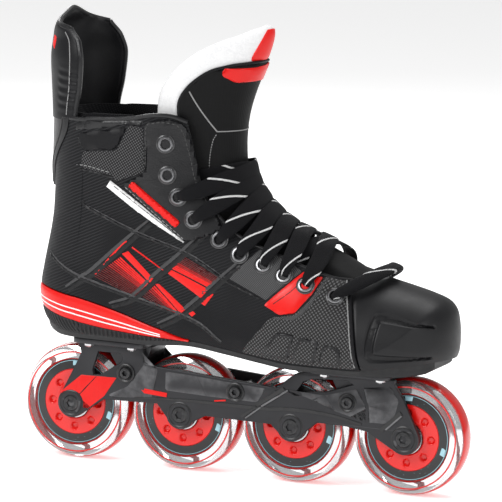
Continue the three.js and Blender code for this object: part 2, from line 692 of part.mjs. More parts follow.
// A crossing that starts outside on one side at a row and ends inside on the other, one row higher.
function crossing(fromRow, toRow, side) {
  const middle = side < 0 ? 0.8 : -1.9;
  const out = laceOut(fromRow);
  const steps = [
    [-1, out], [-0.84, out], [-0.62, out - 1.1], [-0.3, middle], [0, middle],
    [0.3, mix(middle, -1.9, 0.6)], [0.52, -2.3], [0.7, -3.7], [0.84, LACE_UNDER], [1, LACE_UNDER],
  ];
  return steps.map(([across, offset]) =>
    overTongue(mix(fromRow, toRow, (across + 1) / 2), -side * across, offset),
  );
}
const LAST = EYELETS.length - 1;
const LOOP_CROWN = [101, 144.6]; // where the loop passes over the toe cap
{
  // One strand, from the inside of the lowest eyelet of a side up to its tucked end.
  const strand = (start) => {
    const points = [LAST, LAST - 0.5, LAST - 1].map((row) => overTongue(row, start, LACE_UNDER));
    let side = start;
    for (let row = LAST - 1; row >= TOP_LACED; row--) {
      points.push(overTongue(row, side, -1));
      points.push(...crossing(row, row === TOP_LACED ? row - 0.7 : row - 1, side));
      side = -side;
    }
    return points;
  };
  const loop = [-1, -0.85, -0.65, -0.4, -0.18, 0, 0.18, 0.4, 0.65, 0.85, 1].map((across) => {
    const lift = 1 - across * across;
    const offset = mix(2.2, 3.4, lift);
    const [x, z] = [0, 1].map((k) => mix(EYELETS[LAST][k], LOOP_CROWN[k], lift));
    return across === 0 ? crownPoint(crownOf([x, z]), offset) : skin(Math.sign(across), x, z, offset);
  });
  const points = [
    ...strand(-1).reverse(),
    overTongue(LAST, -1, -1),
    ...loop,
    overTongue(LAST, 1, -1),
    ...strand(1),
  ];
  const h = LACE_HALF;
  const corners = [[-h, -h], [h, -h], [h, h], [-h, h]];
  const section = new THREE.Shape(corners.map(([x, y]) => new THREE.Vector2(x, y)));
  const steps = points.length - 1;
  const lace = new THREE.ExtrudeGeometry(section, { steps, extrudePath: new Route(points) });
  add("lace", facingOut(tidy(lace)), MATERIALS.laceWeave);
}

// ---------- frame: two rails ----------
const REAR_TOP = 83.7; // upper edges of the rails, under the mount plates
const FRONT_TOP = 79.4;
const shapeOf = (points) => new THREE.Shape(points.map(([x, z]) => new THREE.Vector2(x, z)));
const arc = (x, z, radius, from, to, steps) =>
  stations(from, to, steps).map((degrees) => {
    const angle = (degrees * Math.PI) / 180;
    return [x + radius * Math.cos(angle), z + radius * Math.sin(angle)];
  });
const AXLE_XS = WHEELS.map(([, x]) => x);
const RAIL_OUTLINE = [
  [-118, REAR_TOP], [-116, 76], [-120, 67],
  ...arc(AXLE_XS[0], AXLE_HEIGHT, 10.2, 140, 300, 5),
  [-98, 45], [-58, 46],
  ...arc(AXLE_XS[1], AXLE_HEIGHT, 10.2, 195, 335, 5),
  [-22, 41], [26, 40.5],
  ...arc(AXLE_XS[2], AXLE_HEIGHT, 10.2, 205, 340, 5),
  [60, 45], [81, 44.5], [96, 42.5],
  ...arc(AXLE_XS[3], AXLE_HEIGHT, 10.8, 235, 390, 5),
  [121, 67], [114.5, 76], [115, FRONT_TOP],
  [52, FRONT_TOP], [43, 77], [38, 73], [30, 66], [4, 67.5], [-30, 70], [-62, 72], [-67, 74.5],
  [-70, REAR_TOP],
];
const REAR_WINDOW = [[-103, 78], [-86, 78], [-84, 75], [-86, 72], [-101, 62], [-106, 61.5], [-107, 65]];
const FRONT_WINDOW = [[44, 64.5], [49, 72], [56, 74.5], [81, 76], [85, 73.5], [66, 67]];
const BOSS_RADIUS = 6.4;
const BOSS_FACE = 12.5; // inner boss face, bearing on the bearings' inner rings
const RECESS_RADIUS = 7;
const RECESS_DEPTH = 2;
const CROSS_RADIUS = 2.5;

// A flat plate from an outline in the side view, between two y values.
function plateXZ(outline, y0, y1, holes = []) {
  const shape = shapeOf(outline);
  shape.holes = holes.map(shapeOf);
  const geometry = new THREE.ExtrudeGeometry(shape, { depth: y1 - y0, bevelEnabled: false });
  return geometry.rotateX(Math.PI / 2).translate(0, y1, 0);
}
for (const [name, side] of SIDES) {
  const [inner, outer] = [side * RAIL_INNER, side * RAIL_OUTER];
  const windows = [REAR_WINDOW, FRONT_WINDOW];
  const plate = plateXZ(RAIL_OUTLINE, Math.min(inner, outer), Math.max(inner, outer), windows);
  const bosses = AXLE_XS.map((x) => rodY(x, AXLE_HEIGHT, side * BOSS_FACE, side * 15, BOSS_RADIUS, 12));
  const bores = AXLE_XS.map((x) => rodY(x, AXLE_HEIGHT, side * 10, side * 20, AXLE_RADIUS + FIT, 12));
  const recesses = AXLE_XS.map((x) =>
    rodY(x, AXLE_HEIGHT, side * (RAIL_OUTER - RECESS_DEPTH), side * 20, RECESS_RADIUS, 12),
  );
  const cross = CROSS_BOLTS.map(([, x, z]) => rodY(x, z, side * 10, side * 20, CROSS_RADIUS + FIT, 12));
  const holes = [...bores, ...recesses, ...cross];
  add(`frame_rail_${name}`, cut(join([plate, ...bosses]), holes), MATERIALS.frame);
}

// ---------- frame: mount plates with their webs between the rails ----------
const MOUNTS = [
  { name: "rear_mount", from: -120, to: -66, low: 84, high: 87.7, bolt: CROSS_BOLTS[0] },
  { name: "front_mount", from: 55, to: 113, low: 79.7, high: 82.7, bolt: CROSS_BOLTS[2] },
];
const MOUNT_HALF = 26.5;
const WEB_HALF = RAIL_INNER - FIT;
for (const { name, from, to, low, high, bolt } of MOUNTS) {
  const [, x, z] = bolt;
  const c = 5; // cut corners
  const outline = [
    [from, -MOUNT_HALF + c], [from + c, -MOUNT_HALF], [to - c, -MOUNT_HALF], [to, -MOUNT_HALF + c],
    [to, MOUNT_HALF - c], [to - c, MOUNT_HALF], [from + c, MOUNT_HALF], [from, MOUNT_HALF - c],
  ];
  const plate = new THREE.ExtrudeGeometry(shapeOf(outline), { depth: high - low, bevelEnabled: false });
  const webOutline = [
    [x - 14.5, low + 1], [x - 14.5, 77], [x - 5, z - 1], [x - 3.5, z - 4], [x + 3.5, z - 4], [x + 5, z - 1],
    [x + 14.5, 77], [x + 14.5, low + 1],
  ];
  const web = plateXZ(webOutline, -WEB_HALF, WEB_HALF);
  const xs = RIVET_ROWS.find(([mount]) => mount === name)[1];
  const holes = xs.flatMap((rx) =>
    SIDES.map(([, side]) => rodZ(rx, side * RIVET_Y, low - 2, high + 2, RIVET_RADIUS + FIT)),
  );
  const bore = rodY(x, z, -20, 20, CROSS_RADIUS + FIT, 12);
  add(name, cut(join([plate.translate(0, 0, low), web]), [...holes, bore]), MATERIALS.frame);
  for (const rx of xs)
    for (const [sideName, side] of SIDES) {
      const profile = [
        [0, low - 2.4], [2.2, low - 2.4], [3.3, low - 1.4], [3.3, low - FIT],
        [RIVET_RADIUS, low - FIT], [RIVET_RADIUS, soleTop(rx) - FIT], [0, soleTop(rx) - FIT],
      ].map(([r, h]) => new THREE.Vector2(r, h));
      const turnedUp = new THREE.LatheGeometry(profile, 8).rotateX(Math.PI / 2);
      const place = rx === xs[0] ? "heel_end" : "toe_end";
      add(
        `${name}_rivet_${place}_${sideName}`,
        facingOut(tidy(turnedUp.translate(rx, side * RIVET_Y, 0))),
        MATERIALS.steel,
      );
    }
}

// ---------- frame: cross bolts, and the sleeve of the middle one ----------
for (const [name, x, z] of CROSS_BOLTS) {
  const profile = [
    [0, -RAIL_OUTER - 2.2], [3.2, -RAIL_OUTER - 2.2], [4.2, -RAIL_OUTER - 1.2], [4.2, -RAIL_OUTER - FIT],
    [CROSS_RADIUS, -RAIL_OUTER - FIT], [CROSS_RADIUS, RAIL_OUTER - 0.4], [0, RAIL_OUTER - 0.4],
  ].map(([r, y]) => new THREE.Vector2(r, y));
  const bolt = new THREE.LatheGeometry(profile, 10).translate(x, 0, z);
  add(`cross_bolt_${name}`, facingOut(tidy(bolt)), MATERIALS.blackSteel);
}
{
  const [, x, z] = CROSS_BOLTS[1];
  const half = RAIL_INNER - FIT;
  const bore = CROSS_RADIUS + FIT;
  const tube = turned([[bore, -half], [4, -half], [4, half], [bore, half]], 12, x, z);
  add("cross_sleeve_middle", tube, MATERIALS.steel);
}

// ---------- wheels ----------
const SEGMENTS = 20;
const flatRadius = (r) => r / Math.cos(Math.PI / SEGMENTS);
for (const [name, x] of WHEELS) {
  const tread = flatRadius(WHEEL_RADIUS);
  const tyre = [
    [TYRE_INNER_RADIUS, -11.6], [35.5, -12], [tread, -6.5],
    [tread, 6.5], [35.5, 12], [TYRE_INNER_RADIUS, 11.6],
  ];
  add(`tyre_${name}`, turned(tyre, SEGMENTS, x, AXLE_HEIGHT), MATERIALS.urethane);
  const core = [
    [8.5, -4.8], [BEARING_RADIUS + FIT, -4.8], [BEARING_RADIUS + FIT, -11.5], [22, -11.5],
    [CORE_RADIUS, -10], [CORE_RADIUS, 10], [22, 11.5], [BEARING_RADIUS + FIT, 11.5],
    [BEARING_RADIUS + FIT, 4.8], [8.5, 4.8],
  ];
  add(`wheel_core_${name}`, turned(core, SEGMENTS, x, AXLE_HEIGHT), MATERIALS.core);
  for (const [sideName, side] of SIDES) {
    const near = side * (SPACER_HALF + 0.05);
    const far = near + side * BEARING_WIDTH;
    const bore = AXLE_RADIUS + FIT;
    const ring = [[bore, near], [BEARING_RADIUS, near], [BEARING_RADIUS, far], [bore, far]];
    add(`bearing_${name}_${sideName}`, turned(ring, 12, x, AXLE_HEIGHT), MATERIALS.steel);
  }
  const spacer = [[4.3, -4.8], [6, -4.8], [6, 4.8], [4.3, 4.8]];
  add(`bearing_spacer_${name}`, turned(spacer, 12, x, AXLE_HEIGHT), MATERIALS.steel);
  const seat = RAIL_OUTER - RECESS_DEPTH + FIT;
  const bolt = [
    [0, -RAIL_OUTER - 1], [4.6, -RAIL_OUTER - 1], [5.6, -RAIL_OUTER], [5.6, -seat], [AXLE_RADIUS, -seat],
    [AXLE_RADIUS, RAIL_OUTER + 0.6], [0, RAIL_OUTER + 0.6],
  ].map(([r, y]) => new THREE.Vector2(r, y));
  add(
    `axle_bolt_${name}`,
    facingOut(tidy(new THREE.LatheGeometry(bolt, 12).translate(x, 0, AXLE_HEIGHT))),
    MATERIALS.blackSteel,
  );
  const nut = [[5, seat], [6.7, seat], [6.7, RAIL_OUTER + 1.2], [5, RAIL_OUTER + 1.2]];
  add(`axle_nut_${name}`, turned(nut, 6, x, AXLE_HEIGHT), MATERIALS.blackSteel);
}

export default skate;
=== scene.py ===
"""Right-foot inline hockey skate: the visible pieces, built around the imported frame.

Sizes are in millimetres until a mesh is made. +X points to the toe, +Y to the medial side, +Z up.
"""

import json
import math

import bmesh
import bpy
import numpy as np
from mathutils import Matrix, Vector

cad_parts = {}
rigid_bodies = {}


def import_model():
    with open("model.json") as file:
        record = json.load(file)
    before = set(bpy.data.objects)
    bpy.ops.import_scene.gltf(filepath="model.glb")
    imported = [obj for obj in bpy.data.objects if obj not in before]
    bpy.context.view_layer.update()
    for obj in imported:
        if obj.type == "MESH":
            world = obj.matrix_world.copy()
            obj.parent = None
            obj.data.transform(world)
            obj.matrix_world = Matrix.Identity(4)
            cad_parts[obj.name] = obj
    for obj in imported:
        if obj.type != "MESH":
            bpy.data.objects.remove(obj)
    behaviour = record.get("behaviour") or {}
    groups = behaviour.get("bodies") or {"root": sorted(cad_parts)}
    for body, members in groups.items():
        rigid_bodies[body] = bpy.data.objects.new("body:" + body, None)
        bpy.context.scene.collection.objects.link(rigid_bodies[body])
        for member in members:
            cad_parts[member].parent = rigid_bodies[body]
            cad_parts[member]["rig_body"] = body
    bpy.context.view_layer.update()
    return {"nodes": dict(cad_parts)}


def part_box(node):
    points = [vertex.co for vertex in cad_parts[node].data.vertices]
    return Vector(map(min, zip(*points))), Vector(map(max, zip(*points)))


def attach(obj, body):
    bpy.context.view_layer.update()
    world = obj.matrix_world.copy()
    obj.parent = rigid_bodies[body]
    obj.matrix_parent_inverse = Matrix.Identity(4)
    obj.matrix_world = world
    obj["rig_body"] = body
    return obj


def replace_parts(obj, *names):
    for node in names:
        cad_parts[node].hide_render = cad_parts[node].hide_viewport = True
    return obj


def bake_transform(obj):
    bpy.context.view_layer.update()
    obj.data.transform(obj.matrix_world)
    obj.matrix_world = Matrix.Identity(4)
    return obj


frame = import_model()

MM = 0.001
SIDES = [("lateral", -1), ("medial", 1)]
WHEELS = ["rear", "mid_rear", "mid_front", "front"]

# ---------- camera, light and floor ----------
CAMERA_AZIMUTH = 22.12
CAMERA_ELEVATION = 8.866
CAMERA_ROLL = 1.83
CAMERA_DISTANCE = 2.959
CAMERA_TARGET = Vector((0.0007, 0, 0.1547))
LENS = 312.3
LIGHT_AIM = Vector((0, 0, 0.15))
WORLD_STRENGTH = 0.42
FLOOR_GLOW = 0.42
FLOOR_HALF = 6


def add_camera():
    azimuth, elevation, roll = (math.radians(a) for a in (CAMERA_AZIMUTH, CAMERA_ELEVATION, CAMERA_ROLL))
    back = Vector((math.sin(azimuth) * math.cos(elevation), -math.cos(azimuth) * math.cos(elevation),
                   math.sin(elevation)))
    right = Vector((math.cos(azimuth), math.sin(azimuth), 0))
    up = back.cross(right)
    tilted = right * math.cos(roll) + up * math.sin(roll)
    upright = up * math.cos(roll) - right * math.sin(roll)
    camera = bpy.data.objects.new("camera", bpy.data.cameras.new("camera"))
    camera.data.lens = LENS
    camera.data.clip_end = 20
    camera.matrix_world = Matrix.Translation(CAMERA_TARGET + back * CAMERA_DISTANCE) @ Matrix(
        (tilted, upright, back)).transposed().to_4x4()
    bpy.context.scene.collection.objects.link(camera)
    bpy.context.scene.camera = camera


def add_light(name, place, size, power):
    light = bpy.data.objects.new(name, bpy.data.lights.new(name, "AREA"))
    light.data.shape = "RECTANGLE"
    light.data.size, light.data.size_y = size
    light.data.energy = power
    light.location = place
    light.rotation_euler = (LIGHT_AIM - Vector(place)).to_track_quat("-Z", "Y").to_euler()
    bpy.context.scene.collection.objects.link(light)


def add_studio():
    add_light("key", (-0.9, -1.5, 1.5), (1.0, 0.8), 30)
    add_light("front_fill", (1.7, -1.1, 0.9), (0.9, 0.9), 9)
    add_light("top", (0.1, 0.5, 1.7), (1.4, 0.7), 15)
    add_light("back_rim", (-1.2, 1.3, 1.0), (0.8, 0.8), 10)
    world = bpy.data.worlds.new("studio")
    world.use_nodes = True
    world.node_tree.nodes["Background"].inputs["Color"].default_value = (1, 1, 1, 1)
    world.node_tree.nodes["Background"].inputs["Strength"].default_value = WORLD_STRENGTH
    bpy.context.scene.world = world
    bpy.context.scene.view_settings.view_transform = "Standard"
    floor = Finish("floor", None, (0.95, 0.95, 0.95), 0.9, Emission_Color=(1, 1, 1, 1),
                   Emission_Strength=FLOOR_GLOW)
    floor.bump(floor.noise(400), 0.02, 0.0002)
    mesh = bpy.data.meshes.new("floor")
    half = FLOOR_HALF
    mesh.from_pydata([(-half, -half, 0), (half, -half, 0), (half, half, 0), (-half, half, 0)], [],
                     [(0, 1, 2, 3)])
    mesh.materials.append(floor.material)
    ground = bpy.data.objects.new("floor", mesh)
    bpy.context.scene.collection.objects.link(ground)


# ---------- materials ----------
MIX_COLORS = (6, 7)  # the colour inputs of a Mix node
MIX_RESULT = 2  # and its colour output


class Finish:
    """A material on one Principled shader, with a short method for each kind of node it uses."""

    def __init__(self, name, slot, color, roughness, **constants):
        self.slot = slot
        self.material = bpy.data.materials.new(name)
        self.material.use_nodes = True
        self.tree = self.material.node_tree
        self.shader = self.tree.nodes["Principled BSDF"]
        self.shader.inputs["Base Color"].default_value = (*color, 1)
        self.shader.inputs["Roughness"].default_value = roughness
        for socket, value in constants.items():
            self.shader.inputs[socket.replace("_", " ")].default_value = value
        self.position = self.node("ShaderNodeTexCoord").outputs["Object"]

    def node(self, kind, inputs=(), **settings):
        node = self.tree.nodes.new(kind)
        for key, value in settings.items():
            setattr(node, key, value)
        for key, value in dict(inputs).items():
            self.feed(node.inputs[key], value)
        return node

    def feed(self, socket, value):
        if isinstance(value, bpy.types.NodeSocket):
            self.tree.links.new(value, socket)
        else:
            socket.default_value = value

    def noise(self, scale, detail=3, distortion=0):
        made = self.node("ShaderNodeTexNoise", {"Vector": self.position, "Scale": scale,
                                                "Detail": detail, "Distortion": distortion})
        return made.outputs["Fac"]

    def cells(self, scale):
        return self.node("ShaderNodeTexVoronoi",
                         {"Vector": self.position, "Scale": scale}).outputs["Distance"]

    def stripes(self, scale, direction="X", vector=None, distortion=0.0):
        made = self.node("ShaderNodeTexWave", {"Vector": vector or self.position, "Scale": scale,
                                               "Distortion": distortion, "Detail": 1},
                         bands_direction=direction)
        return made.outputs["Fac"]

    def turned(self, degrees):
        """Object coordinates turned in the side view."""
        turn = (0, math.radians(degrees), 0)
        return self.node("ShaderNodeMapping",
                         {"Vector": self.position, "Rotation": turn}).outputs["Vector"]

    def maths(self, operation, *values):
        made = self.node("ShaderNodeMath", operation=operation)
        for socket, value in zip(made.inputs, values):
            self.feed(socket, value)
        return made.outputs[0]

    def band(self, value, low, high):
        """0 below low, 1 above high."""
        made = self.node("ShaderNodeMapRange", {"Value": value, "From Min": low, "From Max": high})
        made.interpolation_type = "SMOOTHSTEP"
        return made.outputs["Result"]

    def color(self, factor, first, second):
        made = self.node("ShaderNodeMix", data_type="RGBA")
        self.feed(made.inputs["Factor"], factor)
        for index, value in zip(MIX_COLORS, (first, second)):
            self.feed(made.inputs[index],
                      value if isinstance(value, bpy.types.NodeSocket) else (*value, 1))
        self.feed(self.shader.inputs["Base Color"], made.outputs[MIX_RESULT])

    def roughness(self, factor, low, high):
        made = self.node("ShaderNodeMapRange", {"Value": factor, "To Min": low, "To Max": high})
        self.feed(self.shader.inputs["Roughness"], made.outputs["Result"])

    def bump(self, height, strength, distance):
        made = self.node("ShaderNodeBump", {"Height": height, "Strength": strength, "Distance": distance})
        earlier = self.shader.inputs["Normal"]
        if earlier.is_linked:
            self.feed(made.inputs["Normal"], earlier.links[0].from_socket)
        self.feed(earlier, made.outputs["Normal"])

    def worn(self, color, amount=0.25):
        """Lighter rubbed edges, broken up by noise."""
        edge = self.band(self.node("ShaderNodeNewGeometry").outputs["Pointiness"], 0.52, 0.6)
        share = self.maths("MULTIPLY", self.maths("MULTIPLY", edge, self.noise(300)), amount)
        base = self.shader.inputs["Base Color"]
        first = base.links[0].from_socket if base.is_linked else tuple(base.default_value)[:3]
        self.color(share, first, color)


def grain(finish, scale=900, strength=0.25):
    """Leather pebbles with fine pores between them."""
    pebbles = finish.cells(scale)
    finish.bump(pebbles, strength, 0.0003)
    finish.bump(finish.noise(2600, 2), strength * 0.5, 0.0001)
    return pebbles


def weave(finish, pitch, strength=0.5, turn=45, dark=None, light=None):
    """Two crossing sets of threads in the side view, a pitch in metres apart."""
    scale = 1 / pitch / 3.2
    over = finish.stripes(scale, vector=finish.turned(turn))
    under = finish.stripes(scale, vector=finish.turned(turn - 90))
    threads = finish.maths("MULTIPLY", over, under)
    finish.bump(threads, strength, pitch * 0.25)
    if dark:
        finish.color(threads, dark, light)
    return threads


def make_finishes():
    made = {}

    def new(name, slot, color, roughness, **constants):
        made[name] = Finish(name, slot, color, roughness, **constants)
        return made[name]

    f = new("quarter_fabric", "textile", (0.02, 0.02, 0.021), 0.55, Specular_IOR_Level=0.15,
            Sheen_Weight=0.02)
    threads = weave(f, 0.0009, 0.35)
    contour = f.stripes(160, "Z", f.turned(24), 1.2)
    lines = f.maths("MULTIPLY", f.band(contour, 0.55, 0.95), f.band(f.noise(14, 1), 0.4, 0.62))
    f.color(f.maths("ADD", f.maths("MULTIPLY", threads, 0.3), f.maths("MULTIPLY", lines, 0.4)),
            (0.002, 0.002, 0.003), (0.04, 0.041, 0.043))
    f.bump(contour, 0.12, 0.0001)
    f.roughness(f.noise(120), 0.45, 0.65)

    f = new("grey_weave", "textile", (0.1, 0.1, 0.1), 0.55, Specular_IOR_Level=0.25, Sheen_Weight=0.03)
    weave(f, 0.001, 0.4, 45, (0.02, 0.02, 0.021), (0.12, 0.12, 0.123))

    f = new("black_mesh", "textile", (0.01, 0.01, 0.01), 0.6, Specular_IOR_Level=0.2, Sheen_Weight=0.03)
    weave(f, 0.0016, 0.7, 35, (0.003, 0.003, 0.003), (0.12, 0.12, 0.124))

    f = new("ballistic_weave", "textile", (0.02, 0.02, 0.02), 0.5, Specular_IOR_Level=0.25,
            Sheen_Weight=0.03)
    weave(f, 0.0019, 0.9, 40, (0.003, 0.003, 0.003), (0.13, 0.13, 0.132))

    f = new("leather", "leather", (0.01, 0.01, 0.011), 0.3, Specular_IOR_Level=0.4)
    pebbles = grain(f)
    f.color(f.maths("MULTIPLY", pebbles, 0.6), (0.002, 0.002, 0.003), (0.01, 0.01, 0.011))
    f.roughness(f.noise(160), 0.26, 0.44)
    f.bump(f.noise(60, 2), 0.25, 0.002)

    f = new("smooth_leather", "leather", (0.009, 0.009, 0.01), 0.42, Specular_IOR_Level=0.22)
    f.color(f.maths("MULTIPLY", grain(f, 1400, 0.15), 0.5), (0.002, 0.002, 0.003), (0.008, 0.008, 0.009))
    f.roughness(f.noise(140), 0.36, 0.55)

    f = new("tongue_cover", "textile", (0.008, 0.008, 0.008), 0.62, Specular_IOR_Level=0.15,
            Sheen_Weight=0.02)
    f.color(weave(f, 0.0008, 0.25, 0), (0.002, 0.002, 0.002), (0.007, 0.007, 0.008))
    f.bump(f.noise(90, 2), 0.2, 0.0015)

    f = new("cap_plastic", "cap_plastic", (0.014, 0.014, 0.015), 0.44, Specular_IOR_Level=0.28)
    f.color(f.noise(35, 4), (0.004, 0.004, 0.005), (0.01, 0.01, 0.011))
    f.bump(f.cells(1500), 0.12, 0.0002)
    f.roughness(f.noise(200, 4), 0.36, 0.5)
    f.worn((0.03, 0.03, 0.032), 0.3)

    f = new("sole_plastic", "sole_plastic", (0.008, 0.008, 0.009), 0.5, Specular_IOR_Level=0.3)
    f.color(f.noise(60, 4), (0.005, 0.005, 0.006), (0.014, 0.014, 0.015))
    f.bump(f.cells(1200), 0.15, 0.0002)
    f.worn((0.07, 0.07, 0.07), 0.4)

    f = new("red_plastic", "red_plastic", (0.66, 0.005, 0.003), 0.34, Specular_IOR_Level=0.3)
    f.color(f.noise(60, 3), (0.6, 0.004, 0.003), (0.72, 0.007, 0.004))
    f.bump(f.noise(900, 2), 0.05, 0.0001)

    f = new("lining", "lining", (0.006, 0.006, 0.007), 0.9, Specular_IOR_Level=0.15, Sheen_Weight=0.05)
    weave(f, 0.0014, 0.6, 30, (0.002, 0.002, 0.003), (0.016, 0.016, 0.017))

    f = new("felt", "felt", (0.82, 0.82, 0.82), 0.95, Sheen_Weight=0.35)
    f.color(f.noise(420, 5, distortion=1.5), (0.6, 0.6, 0.61), (0.82, 0.82, 0.82))
    f.bump(f.noise(900, 5, distortion=2), 0.5, 0.0006)

    f = new("lace_weave", "lace", (0.008, 0.008, 0.009), 0.75, Specular_IOR_Level=0.15, Sheen_Weight=0.02)
    along = f.node("ShaderNodeUVMap").outputs["UV"]
    split = f.node("ShaderNodeSeparateXYZ", {"Vector": along})
    ribs = f.stripes(3.2, "X", along)
    cross = f.stripes(3.2, "Y", along)
    knit = f.maths("MULTIPLY", ribs, cross)
    f.bump(knit, 0.5, 0.0003)
    # The tracer is a pale stitched line that crosses the flat lace on a slant and comes back underneath.
    swing = f.maths("MULTIPLY", f.maths("MODULO", f.maths("ADD", split.outputs["X"], 8), 47), 0.52)
    away = f.maths("ABSOLUTE", f.maths("SUBTRACT", swing, split.outputs["Y"]))
    tracer = f.maths("MULTIPLY", f.maths("LESS_THAN", away, 0.75),
                     f.maths("GREATER_THAN", f.stripes(0.42, "X", along), 0.3))
    f.color(tracer, (0.003, 0.003, 0.004), (0.9, 0.9, 0.9))

    f = new("frame_metal", "frame", (0.04, 0.04, 0.042), 0.4, Metallic=0.5, Specular_IOR_Level=0.35)
    f.color(f.noise(45, 4), (0.022, 0.022, 0.024), (0.038, 0.038, 0.041))
    f.bump(f.noise(1600, 2), 0.08, 0.0001)
    f.roughness(f.noise(260, 4), 0.3, 0.44)
    f.worn((0.3, 0.3, 0.31), 0.4)

    f = new("frame_dark", "frame", (0.008, 0.008, 0.009), 0.4)
    f.bump(f.noise(1600, 2), 0.08, 0.0001)
    f.color(f.noise(80), (0.005, 0.005, 0.006), (0.014, 0.014, 0.015))

    f = new("frame_light", "frame", (0.14, 0.14, 0.145), 0.35, Metallic=0.5)
    f.color(f.noise(80), (0.11, 0.11, 0.115), (0.18, 0.18, 0.185))

    f = new("dark_steel", "steel", (0.2, 0.2, 0.21), 0.3, Metallic=1)
    f.color(f.noise(500, 3), (0.12, 0.12, 0.125), (0.3, 0.3, 0.31))
    f.roughness(f.noise(900, 3), 0.2, 0.4)

    f = new("steel", "steel", (0.6, 0.6, 0.61), 0.25, Metallic=1)
    f.color(f.noise(500, 3), (0.48, 0.48, 0.49), (0.7, 0.7, 0.71))
    f.roughness(f.noise(900, 3), 0.16, 0.34)

    f = new("black_steel", "black_steel", (0.02, 0.02, 0.021), 0.32, Metallic=0.8)
    f.color(f.noise(300, 3), (0.012, 0.012, 0.013), (0.04, 0.04, 0.042))
    f.worn((0.3, 0.3, 0.3), 0.5)

    f = new("urethane", "urethane", (0.9, 0.92, 0.94), 0.06, Transmission_Weight=0.92, IOR=1.42)
    f.bump(f.noise(120, 2), 0.06, 0.0004)
    f.color(f.noise(40, 2), (0.86, 0.88, 0.9), (0.95, 0.96, 0.97))

    f = new("tyre_red", "urethane", (0.6, 0.008, 0.006), 0.18, Coat_Weight=0.3, Coat_Roughness=0.1)
    f.color(f.noise(60, 3), (0.5, 0.005, 0.004), (0.7, 0.012, 0.008))
    f.bump(f.noise(300, 2), 0.04, 0.0001)

    f = new("core_red", "core_red", (0.7, 0.006, 0.004), 0.26, Coat_Weight=0.2, Coat_Roughness=0.12)
    f.color(f.noise(90, 3), (0.64, 0.005, 0.003), (0.76, 0.009, 0.006))
    f.bump(f.noise(700, 2), 0.04, 0.0001)

    f = new("label_black", "core_red", (0.01, 0.01, 0.011), 0.35, Coat_Weight=0.2)
    specks = f.band(f.cells(520), 0.12, 0.06)
    f.color(f.maths("MULTIPLY", specks, f.band(f.noise(25, 1), 0.5, 0.62)), (0.01, 0.01, 0.011),
            (0.3, 0.45, 0.5))

    f = new("label_blue", "core_red", (0.35, 0.6, 0.68), 0.4)
    f.color(f.noise(300), (0.3, 0.53, 0.62), (0.42, 0.66, 0.73))

    prints = {"print_red": (0.72, 0.006, 0.004), "print_black": (0.004, 0.004, 0.005),
              "print_grey": (0.045, 0.045, 0.047), "print_maroon": (0.14, 0.003, 0.002),
              "print_dim_red": (0.36, 0.004, 0.003), "print_white": (0.86, 0.86, 0.86)}
    for name, color in prints.items():
        f = new(name, "textile", color, 0.42, Specular_IOR_Level=0.3)
        f.color(f.noise(500, 3), tuple(c * 0.88 for c in color), color)
        f.bump(f.noise(1500, 2), 0.1, 0.0001)

    f = new("thread", "textile", (0.03, 0.03, 0.03), 0.5)
    f.bump(f.stripes(900, "X", f.turned(30)), 0.5, 0.0001)
    f.color(f.noise(700), (0.012, 0.012, 0.012), (0.05, 0.05, 0.05))

    # Pale thread for real stitching. The same colour also paints the highlight lines beside the toe seam
    # and along the tendon guard edges.
    f = new("pale_thread", "textile", (0.25, 0.25, 0.25), 0.5)
    f.bump(f.stripes(900, "X", f.turned(30)), 0.5, 0.0001)
    f.color(f.noise(700), (0.16, 0.16, 0.16), (0.32, 0.32, 0.32))
    return made


FINISH = make_finishes()


# ---------- small maths ----------
def mix(a, b, t):
    return a + (b - a) * t


def smooth(v):
    v = np.clip(v, 0, 1)
    return v * v * (3 - 2 * v)


def through(points):
    """A smooth function of one variable through (x, y) points, flat beyond both ends."""
    xs, ys = np.array(points, float).T
    rise = np.diff(ys) / np.diff(xs)
    slope = np.zeros(len(xs))
    same = rise[:-1] * rise[1:] > 0
    total = np.where(same, rise[:-1] + rise[1:], 1)
    slope[1:-1] = np.where(same, 2 * rise[:-1] * rise[1:] / total, 0)

    def value(x):
        x = np.clip(np.asarray(x, float), xs[0], xs[-1])
        i = np.clip(np.searchsorted(xs, x, side="right") - 1, 0, len(xs) - 2)
        h = xs[i + 1] - xs[i]
        t = (x - xs[i]) / h
        start = (1 + 2 * t) * (1 - t) ** 2 * ys[i] + t * (1 - t) ** 2 * h * slope[i]
        return start + t * t * (3 - 2 * t) * ys[i + 1] + t * t * (t - 1) * h * slope[i + 1]

    return value


def curve(points, steps):
    """A smooth open curve through points of any dimension, with a number of steps between each two."""
    p = np.array(points, float)
    p = np.vstack([2 * p[0] - p[1], p, 2 * p[-1] - p[-2]])
    t = np.linspace(0, 1, steps, endpoint=False)[:, None]
    parts = []
    for a, b, c, d in zip(p, p[1:], p[2:], p[3:]):
        parts.append(0.5 * (2 * b + (c - a) * t + (2 * a - 5 * b + 4 * c - d) * t ** 2
                            + (3 * b - a - 3 * c + d) * t ** 3))
    return np.vstack(parts + [p[-2:-1]])


def along(points, shares):
    """Points at shares of a polyline's length."""
    p = np.array(points, float)
    lengths = np.concatenate([[0], np.cumsum(np.linalg.norm(np.diff(p, axis=0), axis=1))])
    at = np.clip(shares, 0, 1) * lengths[-1]
    return np.stack([np.interp(at, lengths, p[:, k]) for k in range(p.shape[1])], -1)


def length_of(points):
    return float(np.linalg.norm(np.diff(np.asarray(points, float), axis=0), axis=1).sum())


def nearest(line, x, z):
    """The distance to a polyline and the nearest point on it."""
    a, b = line[:-1], line[1:]
    p = np.stack([np.asarray(x, float), np.asarray(z, float)], -1)[..., None, :]
    d = b - a
    t = np.clip(((p - a) * d).sum(-1) / (d * d).sum(-1), 0, 1)
    q = a + d * t[..., None]
    gap = np.linalg.norm(p - q, axis=-1)
    i = gap.argmin(-1)
    return np.take_along_axis(gap, i[..., None], -1)[..., 0], np.take_along_axis(q, i[..., None, None],
                                                                                 -2)[..., 0, :]


